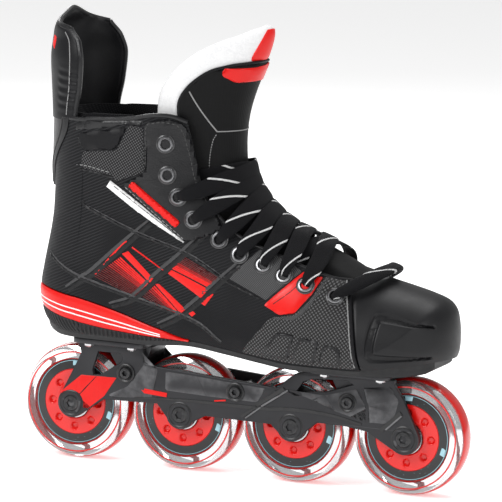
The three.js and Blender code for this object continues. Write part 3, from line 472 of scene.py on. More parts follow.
# ---------- boot form, the same as the CAD model's ----------
DORSUM = curve([
    (147, 90), (150, 98), (150.3, 108), (149.5, 118), (147, 127), (141, 133.5), (130, 137.5),
    (116, 141), (97, 145.5), (85, 151), (70, 159.5), (52, 167), (36, 172.5), (22, 180),
    (10, 190.5), (2, 201), (-2, 211), (-3.5, 222), (-3.5, 238), (-1, 252), (4.5, 266),
    (10, 280), (15, 293), (18, 304), (18.5, 314)], 4)
heel_back = through([
    (88, -134), (91, -141), (96, -145.5), (107, -150), (121, -152), (135, -150), (150, -147),
    (163, -144.5), (175, -143), (190, -142.5), (243, -142.5)])
sole_bottom = through([
    (-150, 96), (-140, 90.5), (-128, 88), (-66, 88), (-30, 90.5), (0, 88), (25, 85.3),
    (50, 83), (118, 83), (135, 85.5), (147, 92)])
sole_width = through([
    (-120, 34), (-80, 34.5), (-40, 36.5), (0, 41), (40, 46.5), (75, 48.5), (100, 47.5), (150, 43)])
shaft_width = through([(-120, 38), (-90, 40.5), (-60, 40), (-30, 38.5), (20, 40), (60, 43), (100, 43)])
HEEL_RADIUS = 36
SOLE_THICK = 4
QUARTER_THICK = 2.4


def centre_shift(x):
    return 4 * smooth((np.asarray(x, float) - 10) / 130)


def closure(q, power):
    return (1 - (1 - np.clip(q, 0, 1)) ** power) ** (1 / power)


def half_width(x, z):
    wide = mix(sole_width(x), shaft_width(x), smooth((z - 98) / 85))
    depth = mix(50, 60, smooth((z - 170) / 50))
    top = closure(nearest(DORSUM, x, z)[0] / depth, 2.05)
    heel = closure((x - heel_back(z)) / HEEL_RADIUS, 2)
    foot = closure((z - sole_bottom(x) + 9) / 26, 2.2)
    return wide * top * heel * foot


def skin(side, x, z, offset=0.0):
    """Points of the boot's surface from its side view, on a side of -1 or 1, moved outwards."""
    x, z = np.broadcast_arrays(np.asarray(x, float), np.asarray(z, float))
    e = 0.5
    nx = (half_width(x - e, z) - half_width(x + e, z)) / (2 * e)
    nz = (half_width(x, z - e) - half_width(x, z + e)) / (2 * e)
    normal = np.stack([nx, np.broadcast_to(side, x.shape), nz], -1)
    normal = normal / np.linalg.norm(normal, axis=-1, keepdims=True)
    place = np.stack([x, side * half_width(x, z) + centre_shift(x), z], -1)
    return place + normal * np.asarray(offset, float)[..., None]


def heel_skin(angle, z, offset=0.0):
    """Points round the heel: angle 0 is the centre of the back, the lateral side is negative."""
    angle, z = np.broadcast_arrays(np.asarray(angle, float), np.asarray(z, float))

    def at(a, h):
        x = heel_back(h) + HEEL_RADIUS * (1 - np.cos(a))
        return np.stack([x, half_width(heel_back(h) + HEEL_RADIUS, h) * np.sin(a), h], -1)

    e = 0.02
    normal = np.cross(at(angle + e, z) - at(angle - e, z), at(angle, z + 0.5) - at(angle, z - 0.5))
    normal = normal / np.linalg.norm(normal, axis=-1, keepdims=True)
    outward = np.stack([-np.cos(angle), np.sin(angle), np.zeros_like(angle)], -1)
    normal = normal * np.sign((normal * outward).sum(-1, keepdims=True))
    return at(angle, z) + normal * np.asarray(offset, float)[..., None]


def crown_point(x, z, offset=0.0):
    """A point on the dorsum line, moved along the line's own normal."""
    place = nearest(DORSUM, x, z)[1]
    i = int(np.linalg.norm(DORSUM - place, axis=1).argmin())
    a, b = DORSUM[max(i - 1, 0)], DORSUM[min(i + 1, len(DORSUM) - 1)]
    normal = np.array([b[1] - a[1], 0, a[0] - b[0]])
    normal /= np.linalg.norm(normal)
    return np.array([place[0], centre_shift(place[0]), place[1]]) + normal * offset


class Surface:
    """A smooth surface through a grid of points, addressed by two shares from 0 to 1."""

    def __init__(self, points, outward):
        self.points = np.asarray(points, float)
        rows, columns = np.gradient(self.points, axis=(0, 1))
        normal = np.cross(rows, columns)
        size = np.linalg.norm(normal, axis=-1, keepdims=True)
        for _ in range(3):
            bad = size[..., 0] < 1e-6
            if not bad.any():
                break
            for shift in (1, -1):
                near = np.roll(normal, shift, axis=1)
                normal = np.where(bad[..., None], near, normal)
                size = np.linalg.norm(normal, axis=-1, keepdims=True)
                bad = size[..., 0] < 1e-6
        normal = normal / np.maximum(size, 1e-9)
        middle = normal[normal.shape[0] // 2, normal.shape[1] // 2]
        self.normals = normal * (1 if np.dot(middle, outward) > 0 else -1)

    def at(self, u, v, offset=0.0):
        u, v = np.broadcast_arrays(np.asarray(u, float), np.asarray(v, float))
        rows, columns = self.points.shape[:2]
        a = np.clip(u, 0, 1) * (rows - 1)
        b = np.clip(v, 0, 1) * (columns - 1)
        i = np.minimum(a.astype(int), rows - 2)
        j = np.minimum(b.astype(int), columns - 2)
        s, t = (a - i)[..., None], (b - j)[..., None]

        def blend(grid):
            near = mix(grid[i, j], grid[i + 1, j], s)
            return mix(near, mix(grid[i, j + 1], grid[i + 1, j + 1], s), t)

        normal = blend(self.normals)
        normal = normal / np.linalg.norm(normal, axis=-1, keepdims=True)
        return blend(self.points) + normal * np.asarray(offset, float)[..., None]


# ---------- meshes ----------
def piece(name, points, faces, finish, body="boot", uv=None, sharp=38):
    """A Blender object from points in millimetres, riding on a body with a finish of its own."""
    mesh = bpy.data.meshes.new(name)
    mesh.from_pydata((np.asarray(points, float) * MM).tolist(), [], [list(map(int, f)) for f in faces])
    if uv is not None:
        layer = mesh.uv_layers.new(name="UVMap")
        index = np.zeros(len(mesh.loops), int)
        mesh.loops.foreach_get("vertex_index", index)
        layer.data.foreach_set("uv", np.asarray(uv, np.float32)[index].ravel())
    return settle(name, mesh, finish, body, sharp)


def settle(name, mesh, finish, body="boot", sharp=38):
    """Tidies a mesh, turns its faces outwards and makes the piece."""
    made = bmesh.new()
    made.from_mesh(mesh)
    bmesh.ops.remove_doubles(made, verts=made.verts, dist=1e-6)
    bmesh.ops.dissolve_degenerate(made, edges=made.edges, dist=1e-7)
    bmesh.ops.recalc_face_normals(made, faces=made.faces)
    made.to_mesh(mesh)
    made.free()
    mesh.shade_smooth()
    mesh.set_sharp_from_angle(angle=math.radians(sharp))
    mesh.materials.clear()
    mesh.materials.append(FINISH[finish].material)
    made = bpy.data.objects.new(name, mesh)
    bpy.context.scene.collection.objects.link(made)
    if body:
        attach(made, body)
    return made


def grid_faces(rows, columns):
    i, j = np.meshgrid(np.arange(rows - 1), np.arange(columns - 1), indexing="ij")
    a = (i * columns + j).ravel()
    return np.stack([a, a + columns, a + columns + 1, a + 1], -1).tolist()


def ring_faces(rings, sides, looped=False):
    """Faces round a stack of rings: a looped stack joins its ends, any other gets end caps."""
    faces = []
    for i in range(rings if looped else rings - 1):
        above = (i + 1) % rings
        for j in range(sides):
            k = (j + 1) % sides
            faces.append([i * sides + j, above * sides + j, above * sides + k, i * sides + k])
    if not looped:
        last = (rings - 1) * sides
        faces += [list(range(sides)), [last + j for j in reversed(range(sides))]]
    return faces


def closed(outer, inner, faces):
    """Points and faces of a body between two layers of points that share their faces."""
    count = len(outer)
    edges = {(a, b) for f in faces for a, b in zip(f, f[1:] + f[:1])}
    rim = [(a, b) for a, b in edges if (b, a) not in edges]
    below = [[i + count for i in reversed(f)] for f in faces]
    walls = [[b, a, a + count, b + count] for a, b in sorted(rim)]
    return np.vstack([outer, inner]), faces + below + walls


def shell(name, outer, inner, finish, body="boot", sharp=38):
    """A closed piece between two grids of points."""
    rows, columns = outer.shape[:2]
    points, faces = closed(outer.reshape(-1, 3), inner.reshape(-1, 3), grid_faces(rows, columns))
    return piece(name, points, faces, finish, body, sharp=sharp)


def merge(parts):
    """Points and faces of several bodies as one list."""
    points, faces, count = [], [], 0
    for p, f in parts:
        points.append(p)
        faces += [[i + count for i in face] for face in f]
        count += len(p)
    return np.vstack(points), faces


def soften(outline, radius, steps=4, keep=()):
    """The outline with its corners rounded, apart from the corners whose numbers are kept sharp."""
    p = np.array(outline, float)
    result = []
    for i, corner in enumerate(p):
        before, after = p[i - 1], p[(i + 1) % len(p)]
        if i in keep:
            result.append(corner)
            continue
        reach = [min(radius, 0.45 * np.linalg.norm(q - corner)) for q in (before, after)]
        start, end = (corner + (q - corner) / np.linalg.norm(q - corner) * r
                      for q, r in zip((before, after), reach))
        for t in np.linspace(0, 1, steps):
            result.append((1 - t) ** 2 * start + 2 * t * (1 - t) * corner + t * t * end)
    return np.array(result)


def patch_mesh(place, outline, low, thick, edge, cell):
    """A raised panel with a bevelled rim: an outline in a surface's own coordinates, cut to its curve."""
    made = bmesh.new()
    face = made.faces.new([made.verts.new((u, v, 0)) for u, v in outline])
    if edge > 0:
        bmesh.ops.inset_region(made, faces=[face], thickness=edge, use_even_offset=True)
    bmesh.ops.triangulate(made, faces=made.faces[:])
    bmesh.ops.remove_doubles(made, verts=made.verts, dist=1e-4)
    lows, highs = np.min(outline, axis=0), np.max(outline, axis=0)
    for axis in (0, 1):
        normal = [0, 0, 0]
        normal[axis] = 1
        for at in np.arange(math.ceil(lows[axis] / cell), highs[axis] / cell) * cell:
            bmesh.ops.bisect_plane(made, geom=made.verts[:] + made.edges[:] + made.faces[:], dist=1e-5,
                                   plane_co=[at * n for n in normal], plane_no=normal)
    made.verts.index_update()
    flat = np.array([v.co[:2] for v in made.verts])
    rim = np.array([v.is_boundary for v in made.verts])
    faces = [[v.index for v in f.verts] for f in made.faces]
    made.free()
    top = place(flat[:, 0], flat[:, 1], np.where(rim, low, low + thick))
    bottom = place(flat[:, 0], flat[:, 1], np.full(len(flat), low - 0.35))
    return closed(top, bottom, faces)


def patch(name, place, outline, finish, low=0.0, thick=0.25, edge=0.35, cell=3.0, body="boot"):
    points, faces = patch_mesh(place, outline, low, thick, edge, cell)
    return piece(name, points, faces, finish, body)


def ribbon(path, widths):
    """The outline of a band along a path, with its widths given at evenly spaced places."""
    p = np.array(path, float)
    tangent = np.gradient(p, axis=0)
    tangent /= np.linalg.norm(tangent, axis=1, keepdims=True)
    across = np.stack([-tangent[:, 1], tangent[:, 0]], -1)
    half = np.interp(np.linspace(0, 1, len(p)), np.linspace(0, 1, len(widths)), widths)[:, None] / 2
    return np.vstack([p + across * half, (p - across * half)[::-1]])


def tube_mesh(path, radius, sides=8):
    """A round tube with closed ends along a path in space."""
    p = np.asarray(path, float)
    tangent = np.gradient(p, axis=0)
    tangent /= np.linalg.norm(tangent, axis=1, keepdims=True)
    normal = np.cross(tangent[0], [0.31, 0.9, 0.3])
    rings = []
    radii = np.broadcast_to(radius, len(p))
    for centre, t, r in zip(p, tangent, radii):
        normal = normal - t * np.dot(normal, t)
        normal /= np.linalg.norm(normal)
        side = np.cross(t, normal)
        angles = np.linspace(0, 2 * math.pi, sides, endpoint=False)[:, None]
        rings.append(centre + r * (np.cos(angles) * normal + np.sin(angles) * side))
    return np.vstack(rings), ring_faces(len(p), sides)


def piping(name, place, path, radius, finish, offset=0.0, body="boot", steps=4):
    flat = curve(path, steps)
    route = place(flat[:, 0], flat[:, 1], np.full(len(flat), offset))
    return piece(name, *tube_mesh(route, radius), finish, body)


def stitches(name, place, path, finish, offset=0.1, pitch=3.4, length=2.3, radius=0.38, body="boot"):
    """A row of short threads that dip into the surface at both ends."""
    flat = curve(path, 6)
    total = length_of(flat)
    parts = []
    for start in np.arange(0.5, total - length, pitch):
        spots = along(flat, np.linspace(start, start + length, 5) / total)
        rise = offset + radius * np.array([-0.9, 0.2, 0.45, 0.2, -0.9])
        parts.append(tube_mesh(place(spots[:, 0], spots[:, 1], rise), radius, 6))
    return piece(name, *merge(parts), finish, body)


def turned_mesh(profile, segments, centre=(0, 0, 0), axis=(0, -1, 0)):
    """A ring turned about an axis from a closed profile of (radius, height along the axis)."""
    axis = np.array(axis, float) / np.linalg.norm(axis)
    first = np.cross(axis, [0, 0, 1.0] if abs(axis[2]) < 0.9 else [1.0, 0, 0])
    first /= np.linalg.norm(first)
    second = np.cross(axis, first)
    angles = np.linspace(0, 2 * math.pi, segments, endpoint=False)
    around = np.cos(angles)[:, None] * first + np.sin(angles)[:, None] * second
    rows = [np.array(centre, float) + axis * height + radius * around for radius, height in profile]
    return np.vstack(rows), ring_faces(len(profile), segments, looped=True)


def carve(target, cutter_points, cutter_faces):
    """Takes a closed shape out of a piece."""
    mesh = bpy.data.meshes.new("cutter")
    mesh.from_pydata((cutter_points * MM).tolist(), [], cutter_faces)
    cutter = bpy.data.objects.new("cutter", mesh)
    bpy.context.scene.collection.objects.link(cutter)
    tool = target.modifiers.new("holes", "BOOLEAN")
    tool.operation, tool.solver, tool.object = "DIFFERENCE", "EXACT", cutter
    result = bpy.data.meshes.new_from_object(target.evaluated_get(bpy.context.evaluated_depsgraph_get()))
    target.modifiers.remove(tool)
    result.name = target.data.name
    target.data = result
    result.set_sharp_from_angle(angle=math.radians(38))
    bpy.data.objects.remove(cutter)


def on_side(side):
    return lambda x, z, offset: skin(side, x, z, offset)


# ---------- boot: quarters ----------
EYELETS = [(-48, 228.5), (-46, 207.5), (-38, 193), (-26.5, 178.5), (-8, 166.5), (7, 157.5), (24.5, 152),
           (40, 146.3), (56, 141), (76, 135)]
EYELET_HOLE = 3.3
FACED_ROWS = 4
SEAM_X = 98.3
SEAM_TOP = (83.3, 145.8)
THROAT = [(83, 145.8), (72, 147.3), (58, 151.5), (46, 155), (30, 160.5), (12, 166.5), (-2, 175),
          (-14, 186), (-22, 198), (-26, 210), (-29.5, 224), (-34.5, 244)]
COLLAR = [(-34.5, 244), (-46, 247), (-60, 246.5), (-75, 243.5), (-106, 241)]
collar_height = through([(-144, 240), (-125, 240), (-106, 241)])
band_bottom = through([(-153, 107), (-120, 101.5), (-87, 97), (-50, 94.8), (-28, 94.6)])
band_top = through([(-153, 122), (-120, 118), (-87, 111), (-50, 100.5), (-28, 95.2)])
HEEL_JOIN = float(heel_back(110)) + HEEL_RADIUS


def quarter_bottom(x):
    return np.where(x < -28, band_top(x) + 1, sole_bottom(x) + SOLE_THICK + 0.3)


def quarter_grid(side, offset):
    level = np.linspace(0, 1, 56)
    share = np.linspace(0, 1, 120)[:, None]
    top = along(np.vstack([curve(THROAT, 4), curve(COLLAR, 4)[1:]]), share[:, 0])
    foot = mix(SEAM_X - 0.3, HEEL_JOIN, share ** 0.9)
    front = skin(side, mix(foot, top[:, :1], level), mix(quarter_bottom(foot), top[:, 1:], level), offset)
    turn = np.linspace(math.pi / 2, 0, 25)[1:, None]
    x = heel_back(115) + HEEL_RADIUS * (1 - np.cos(turn))
    heel = heel_skin(side * turn, mix(quarter_bottom(x), collar_height(x), level), offset)
    heel[-1, :, 1] = side * 0.2
    return np.vstack([front, heel])


def eyelet_frame(row, side, offset=0.0):
    x, z = EYELETS[row]
    centre = skin(side, x, z, offset)
    return centre, skin(side, x, z, offset + 1) - centre


def eyelet_cutter(rows, side):
    rods = []
    for row in rows:
        centre, normal = eyelet_frame(row, side)
        rods.append(turned_mesh([(0.01, -8), (EYELET_HOLE, -8), (EYELET_HOLE, 8), (0.01, 8)], 20, centre,
                                normal))
    return merge(rods)


def add_quarters():
    for name, side in SIDES:
        made = shell(f"quarter_shell_{name}", quarter_grid(side, 0), quarter_grid(side, -QUARTER_THICK),
                     "quarter_fabric")
        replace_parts(made, f"quarter_{name}")
        carve(made, *eyelet_cutter(range(len(EYELETS)), side))
        place = on_side(side)
        piping(f"throat_binding_{name}", place, [(x - 0.3, z - 0.6) for x, z in THROAT[:8]], 1.3,
               "leather", -0.8)
        rim = np.vstack([skin(side, *np.array(curve([(-34.5, 243.5)] + COLLAR[1:], 5)).T, -1.0),
                         heel_skin(side * np.linspace(1.5, 0, 24), 240.0, -1.0)])
        piece(f"collar_binding_{name}", *tube_mesh(rim, 1.7), "leather")
        seam = [(SEAM_TOP[0] - 1.6, SEAM_TOP[1] - 1), (90.2, 120), (SEAM_X - 1.6, 90)]
        piping(f"toe_seam_welt_{name}", place, seam, 1.15, "smooth_leather", 0.2)
        # The pale tube just behind the welt is a painted highlight along the toe seam.
        piping(f"toe_seam_painted_highlight_{name}", place, [(x - 1.9, z) for x, z in seam], 0.5, "pale_thread", 0.2)
    back = np.array([heel_skin(0.0, z, 0.1) for z in np.linspace(124, 192, 30)])
    piece("heel_seam", *tube_mesh(back, 0.9), "smooth_leather")


# ---------- boot: panels, seams and prints on the quarters ----------
def panels():
    """Each panel: name, finish, outline in the side view, height under it, thickness, corner radius."""
    return [
        ("vamp_mesh", "ballistic_weave", [(12, 92), (33.8, 118.2), (51.7, 122.1), (62, 133.5),
         (66, 147.2), (82, 144), (90.3, 116.7), (96.4, 88.4), (50, 88.5)], 0.05, 0.35, 3),
        ("grey_panel", "grey_weave", [(1, 141.5), (27, 131), (30, 129.5), (51, 149.5), (44, 153.6),
         (30, 158.8), (20, 161.6)], 0.05, 0.3, 1),
        ("red_panel", "red_plastic", [(29, 126.3), (40.8, 120.9), (51.6, 123), (61.3, 135.9),
         (65.6, 146.8), (60, 146.6), (53, 150)], 0.2, 0.7, 1.5),
        ("fin_rear", "leather", [(27.4, 92.5), (40.5, 109.5), (52.7, 108.6), (48.1, 91.5)], 0.4, 0.9,
         2.5),
        ("fin_middle", "leather", [(50.5, 91.2), (57, 107.6), (70.6, 106), (67, 90.6)], 0.4, 0.9, 2.5),
        ("fin_front", "leather", [(69.5, 90.6), (74.5, 104.6), (85, 102.4), (86, 90)], 0.4, 0.9, 2.5),
        ("fin_face_rear", "ballistic_weave", [(30.4, 94), (41.5, 107.4), (50.8, 106.8), (46.8, 93)], 1.3,
         0.2, 1.5),
        ("fin_face_middle", "ballistic_weave", [(52.6, 92.8), (58.2, 105.6), (68.6, 104.3),
         (65.5, 92.2)], 1.3, 0.2, 1.5),
        ("fin_face_front", "ballistic_weave", [(71.4, 92), (75.6, 102.8), (83.2, 101), (84.2, 91.6)],
         1.3, 0.2, 1.5),
        ("ankle_mesh", "black_mesh", [(-127, 205), (-110.6, 207.5), (-84.9, 203.8), (-84.8, 199.9),
         (-62, 208), (-64.5, 238), (-74.7, 239.3), (-83.5, 221.3), (-108.9, 218.6), (-115.7, 226),
         (-126, 226)], 0.05, 0.3, 2),
        ("ankle_cup", "smooth_leather", [(-113.6, 230.8), (-76, 237.6), (-84, 222.2), (-107.9, 219.6),
         (-113, 224.7)], 0.0, 1.2, 3),
        ("ankle_collar", "leather", [(-126, 229.5), (-114.8, 232.2), (-78.4, 239.3), (-65.4, 239.5),
         (-64, 243), (-76, 242.3), (-106, 239.8), (-127, 239)], 0.1, 0.7, 1.5),
        ("heel_red_wedge", "print_red", [(-78.1, 151), (-73.3, 153.2), (-54.5, 135.5), (-57.4, 132.6)],
         0.1, 0.3, 0.6),
        ("middle_red_wedge", "print_red", [(-53.6, 132), (-50.7, 132.7), (-30.3, 116.8), (-34.2, 113.7)],
         0.1, 0.3, 0.6),
        ("upper_red_wedge", "print_red", [(-44.2, 140.4), (-18.9, 125.8), (-13.3, 132.5), (-41.5, 143)],
         0.1, 0.3, 0.6),
        ("front_red_chip", "print_red", [(-18.8, 122.4), (-15.8, 120.9), (-9.3, 129.5), (-12.4, 130.6)],
         0.1, 0.3, 0.4),
        ("low_red_chip", "print_red", [(-28.6, 114.6), (-25.3, 112.5), (-22.5, 114.8), (-25.6, 117)],
         0.1, 0.3, 0.4),
    ]


def bands():
    """Each band: name, finish, path in the side view, widths along it, height under it, thickness."""
    slash_rear = [(-119, 121.4), (-106.4, 130.5), (-99.5, 135), (-73.3, 158.6), (-56.5, 173.2)]
    slash_middle = [(-86, 113), (-68.9, 120.1), (-51.7, 136.6), (-33.1, 153.2), (-13.5, 173.2)]
    slash_front = [(-49.5, 102.5), (-34.1, 111.2), (-19.8, 123.1), (-5.7, 136.3), (9, 150)]
    beside = {"rear": slash_rear, "middle": slash_middle, "front": slash_front}
    made = []
    for name, path in beside.items():
        made.append((f"slash_{name}", "print_black", path, [2.2, 3.6, 3.6, 2.6], 0.15, 0.35))
        made.append((f"slash_{name}_edge", "print_grey", [(x - 2.3, z + 2.5) for x, z in path],
                     [1.4, 2.4, 2.4, 1.4],
                     0.15, 0.3))
    made += [
        ("seam_high", "print_black", [(-128.9, 176.9), (-108.9, 184.1), (-103.7, 180.2), (-67.1, 165.9),
         (-29.8, 154.2), (-1.5, 139.6), (25, 130.3)], [1.1, 1.6, 1.5, 1.2], 0.2, 0.4),
        ("seam_high_edge", "print_grey", [(-103, 181.6), (-67, 167.5), (-29.6, 155.8), (-1, 141.3)],
         [0.5, 0.9, 0.9, 0.5], 0.2, 0.3),
        ("seam_low", "print_grey", [(-137, 146.7), (-122.3, 137.8), (-106.3, 131.4), (-68, 121.8),
         (-23.3, 110.5), (-2.7, 97.8)], [1, 1.5, 1.4, 1.2], 0.2, 0.4),
        ("seam_low_edge", "print_black", [(-137, 144.6), (-122.3, 135.9), (-106.3, 129.5), (-68, 119.9),
         (-23.3, 108.6), (-3.5, 96.8)], [1, 1.8, 1.8, 1.2], 0.2, 0.3),
        ("ankle_seam", "print_black", [(-127.3, 203.6), (-108, 206), (-84.9, 202.4)], [1, 1.2, 1], 0.3,
         0.4),
        ("ankle_piping", "print_white", [(-88.5, 198.4), (-60, 180), (-32.8, 162.8)], [5.2, 5.6, 4.2,
         1.2], 0.3, 1.2),
        ("ankle_piping_line", "thread", [(-84, 197.2), (-60, 181.7), (-37, 167)], [0.4, 0.4, 0.4], 1.47,
         0.12),
        ("heel_red_bar", "print_red", [(-74.6, 160.4), (-99, 134.4)], [2, 1.6], 0.1, 0.35),
        ("middle_red_line", "print_red", [(-70.5, 156.2), (-47, 141.9)], [1.2, 0.8], 0.1, 0.35),
        ("red_panel_rim", "grey_weave", [(37, 118.6), (45, 118.9), (53, 120.9), (60, 128.5), (64.8, 137),
         (68.2, 146.4)], [1.5, 3, 3, 2], 0.3, 0.5),
        ("red_panel_line", "print_black", [(36, 127.6), (47, 136.5), (54.5, 145.5)], [0.5, 0.6, 0.5],
         0.88, 0.1),
    ]
    return made


# Printed hatching beside each red wedge: its first line and its last line, and how many lines.
HATCHES = [
    ("heel_hatch", ((-79.6, 148.2), (-58.2, 131.2)), ((-99.5, 133.6), (-68, 121.6)), 15),
    ("middle_hatch", ((-54.4, 130.6), (-35, 113)), ((-63, 123), (-41, 112.8)), 8),
    ("upper_hatch", ((-41.6, 144.6), (-12.8, 134)), ((-34, 153.5), (-5.4, 140.5)), 10),
]


def add_hatching(side_name, place):
    for name, (first_start, first_end), (last_start, last_end), count in HATCHES:
        for number in range(count):
            t = number / (count - 1)
            start = mix(np.array(first_start), np.array(last_start), t)
            end = mix(np.array(first_end), np.array(last_end), t)
            outline = ribbon(curve([start, end], 8), [mix(1.15, 0.4, t)] * 2)
            finish = ("print_red", "print_dim_red", "print_maroon")[min(2, int(t * 4))]
            patch(f"{name}_{number + 1}_{side_name}", place, outline, finish, 0.05, 0.25, 0.1, 4)


FACING = [(-63.8, 241.8), (-50, 245.6), (-35.6, 243.2), (-29.4, 222.9), (-23.9, 200.8), (-13, 184.5),
          (-6.5, 173.5),
          (-12, 169.6), (-31, 162.8), (-42.2, 170.6), (-77.2, 197.4), (-75.4, 201), (-60.6, 208.4)]
BADGE = np.array([(-71.5, 200), (-36.5, 174.4)], float)


def add_panels():
    for side_name, side in SIDES:
        place = on_side(side)
        for name, finish, outline, low, thick, radius in panels():
            patch(f"{name}_{side_name}", place, soften(outline, radius), finish, low, thick)
        for name, finish, path, widths, low, thick in bands():
            outline = ribbon(curve(path, 6 if len(path) > 2 else 2), widths)
            patch(f"{name}_{side_name}", place, outline, finish, low, thick, edge=0.2)
        add_hatching(side_name, place)
        facing = patch(f"facing_panel_{side_name}", place, soften(FACING, 7, 6), "leather", 0.3, 1.9, 1.4,
                       2.5)
        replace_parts(facing, f"facing_{side_name}")
        carve(facing, *eyelet_cutter(range(FACED_ROWS), side))
        inner = [(-61.2, 213), (-61.4, 238), (-57, 242), (-49, 243), (-41.5, 241.6), (-37.2, 237),
                 (-32.4, 221.5),
                 (-27.4, 203), (-17, 187.2)]
        stitches(f"facing_stitch_{side_name}", place, inner, "thread", 2.15)
        stitches(f"facing_low_stitch_{side_name}", place, [(-75.6, 197.5), (-43, 173.1), (-32.4, 165.3)],
                 "pale_thread",
                 2.15, radius=0.3)
        badge = soften(ribbon(BADGE, [5.2, 5.2]), 2, 6)
        patch(f"facing_bar_{side_name}", place, badge, "red_plastic", 2.1, 1.6, 0.5, 1.5)
        stitches(f"ankle_mesh_stitch_{side_name}", place, [(-125, 207.2), (-108, 209.2), (-86, 205.8)],
                 "pale_thread", 0.35,
                 radius=0.3)


def add_eyelets():
    black = [(3.4, -1.2), (6.3, -1.2), (6.4, 0.3), (5.9, 0.8), (5, 0.95), (4.2, 0.4), (3.4, 0.4)]
    metal = [(3.0, -3), (3.35, -3), (3.35, 0.1), (4.9, 0.3), (5.15, 0.9), (4.7, 1.4), (3.9, 1.5),
             (3.3, 1.1), (3.0, 0.3)]
    for side_name, side in SIDES:
        for row in range(len(EYELETS)):
            base = 2.1 if row < FACED_ROWS else 0.9 if row == 8 else 0.3
            centre, normal = eyelet_frame(row, side, base)
            name = f"{row + 1}_{side_name}"
            piece(f"eyelet_washer_{name}", *turned_mesh(black, 36, centre, normal), "black_steel")
            piece(f"eyelet_ring_{name}", *turned_mesh(metal, 36, centre, normal), "dark_steel")


# ---------- boot: toe cap ----------
CAP_CORNER = (SEAM_X, 88.5)
CAP_REAR = (97, 145.5)
CAP_EDGE_SLOPE = 0.126
CAP_SHOULDER = 0.88
CAP_THICK = 3
GROOVE = [(141.7, 118.3), (125, 121.2), (109.1, 123.9), (106.1, 121.4), (104.7, 111), (104.5, 101.9),
          (107.8, 97.6),
          (124, 97.2), (140.3, 97.3)]


def dorsum_along(angle):
    """Where a ray from the cap's corner first meets the dorsum line."""
    x, z = CAP_CORNER
    dx, dz = math.cos(angle), math.sin(angle)
    a, b = DORSUM[:-1], DORSUM[1:]
    across = dx * (b[:, 1] - a[:, 1]) - dz * (b[:, 0] - a[:, 0])
    reach = ((a[:, 0] - x) * (b[:, 1] - a[:, 1]) - (a[:, 1] - z) * (b[:, 0] - a[:, 0])) / across
    share = ((a[:, 0] - x) * dz - (a[:, 1] - z) * dx) / across
    hit = reach[(share >= -1e-9) & (share <= 1 + 1e-9) & (reach > 0)].min()
    return x + hit * dx, z + hit * dz


def cap_flat(shares, across):
    """Side-view points of the toe cap: shares run from the seam to the sole, across from side to side."""
    start = math.atan2(CAP_REAR[1] - CAP_CORNER[1], CAP_REAR[0] - CAP_CORNER[0])
    corner = np.array(CAP_CORNER, float)
    lift = (1 - across ** 2)[None, :, None]
    rows = []
    for share in shares:
        crown = np.array(dorsum_along(mix(start, math.atan(CAP_EDGE_SLOPE), share)))
        lean = (1 - share) ** 3 * (np.array(SEAM_TOP) - mix(corner, np.array(CAP_REAR), CAP_SHOULDER))
        shoulder = mix(corner, crown, CAP_SHOULDER) + lean
        low = mix(corner, shoulder, lift[0] / CAP_SHOULDER)
        high = mix(shoulder, crown, (lift[0] - CAP_SHOULDER) / (1 - CAP_SHOULDER))
        rows.append(np.where(lift[0] < CAP_SHOULDER, low, high))
    return np.array(rows)


def add_toe_cap():
    shares, across = np.linspace(0, 1, 96), np.linspace(-1, 1, 181)
    flat = cap_flat(shares, across)
    x, z = flat[..., 0], flat[..., 1]
    y = np.sign(across) * half_width(x, z) + centre_shift(x)
    surface = Surface(np.stack([x, y, z], -1), (1, 0, 0.3))
    gap = nearest(curve(GROOVE, 6), x, z)[0]
    width = mix(3.2, 0.7, np.clip((x - 106) / 34, 0, 1))
    groove = -1.9 * (1 - smooth((gap - width * 0.55) / (width * 0.6)))
    seam = -1.2 * (1 - smooth(shares[:, None] * 26 * np.sqrt(np.clip(1 - across ** 2, 0, 1))))
    u, v = np.meshgrid(np.linspace(0, 1, 96), np.linspace(0, 1, 181), indexing="ij")
    made = shell("toe_cap_shell", surface.at(u, v, groove + seam),
                 surface.at(u, v, np.full(u.shape, -CAP_THICK)),
                 "cap_plastic", sharp=50)
    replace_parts(made, "toe_cap")
    for name, side in SIDES:
        inlay = ribbon(curve(GROOVE, 6), [0.4, 2.6, 5, 5.4, 5.4, 5, 4.2, 2.2, 0.4])
        patch(f"cap_groove_{name}", on_side(side), inlay, "print_black", -2.1, 0.4, 0.2)


# ---------- boot: sole, heel cup and heel band ----------
def wrap(t, height, offset):
    """Points round the heel cup: t is -1 at the lateral front, 0 at the back, 1 at the medial front."""
    t, offset = np.broadcast_arrays(np.asarray(t, float), np.asarray(offset, float))
    around = np.abs(t)
    bend = 0.42
    angle = np.clip(around / bend, 0, 1) * math.pi / 2
    x = np.where(around < bend, heel_back(110) + HEEL_RADIUS * (1 - np.cos(angle)),
                 mix(HEEL_JOIN, -29, (around - bend) / (1 - bend)))
    z = height(x)
    side = np.where(t < 0, -1.0, 1.0)
    heel = heel_skin(side * np.minimum(angle, math.pi / 2 - 1e-3), z, offset)
    front = np.where((side < 0)[..., None], skin(-1, x, z, offset), skin(1, x, z, offset))
    return np.where((around < bend)[..., None], heel, front)


def band_height(level):
    return lambda x: mix(band_bottom(x), np.maximum(band_top(x), band_bottom(x) + 0.8), level)


def cup_height(level):
    return lambda x: mix(sole_bottom(x) + 3.5, band_bottom(x) - 0.2, level)


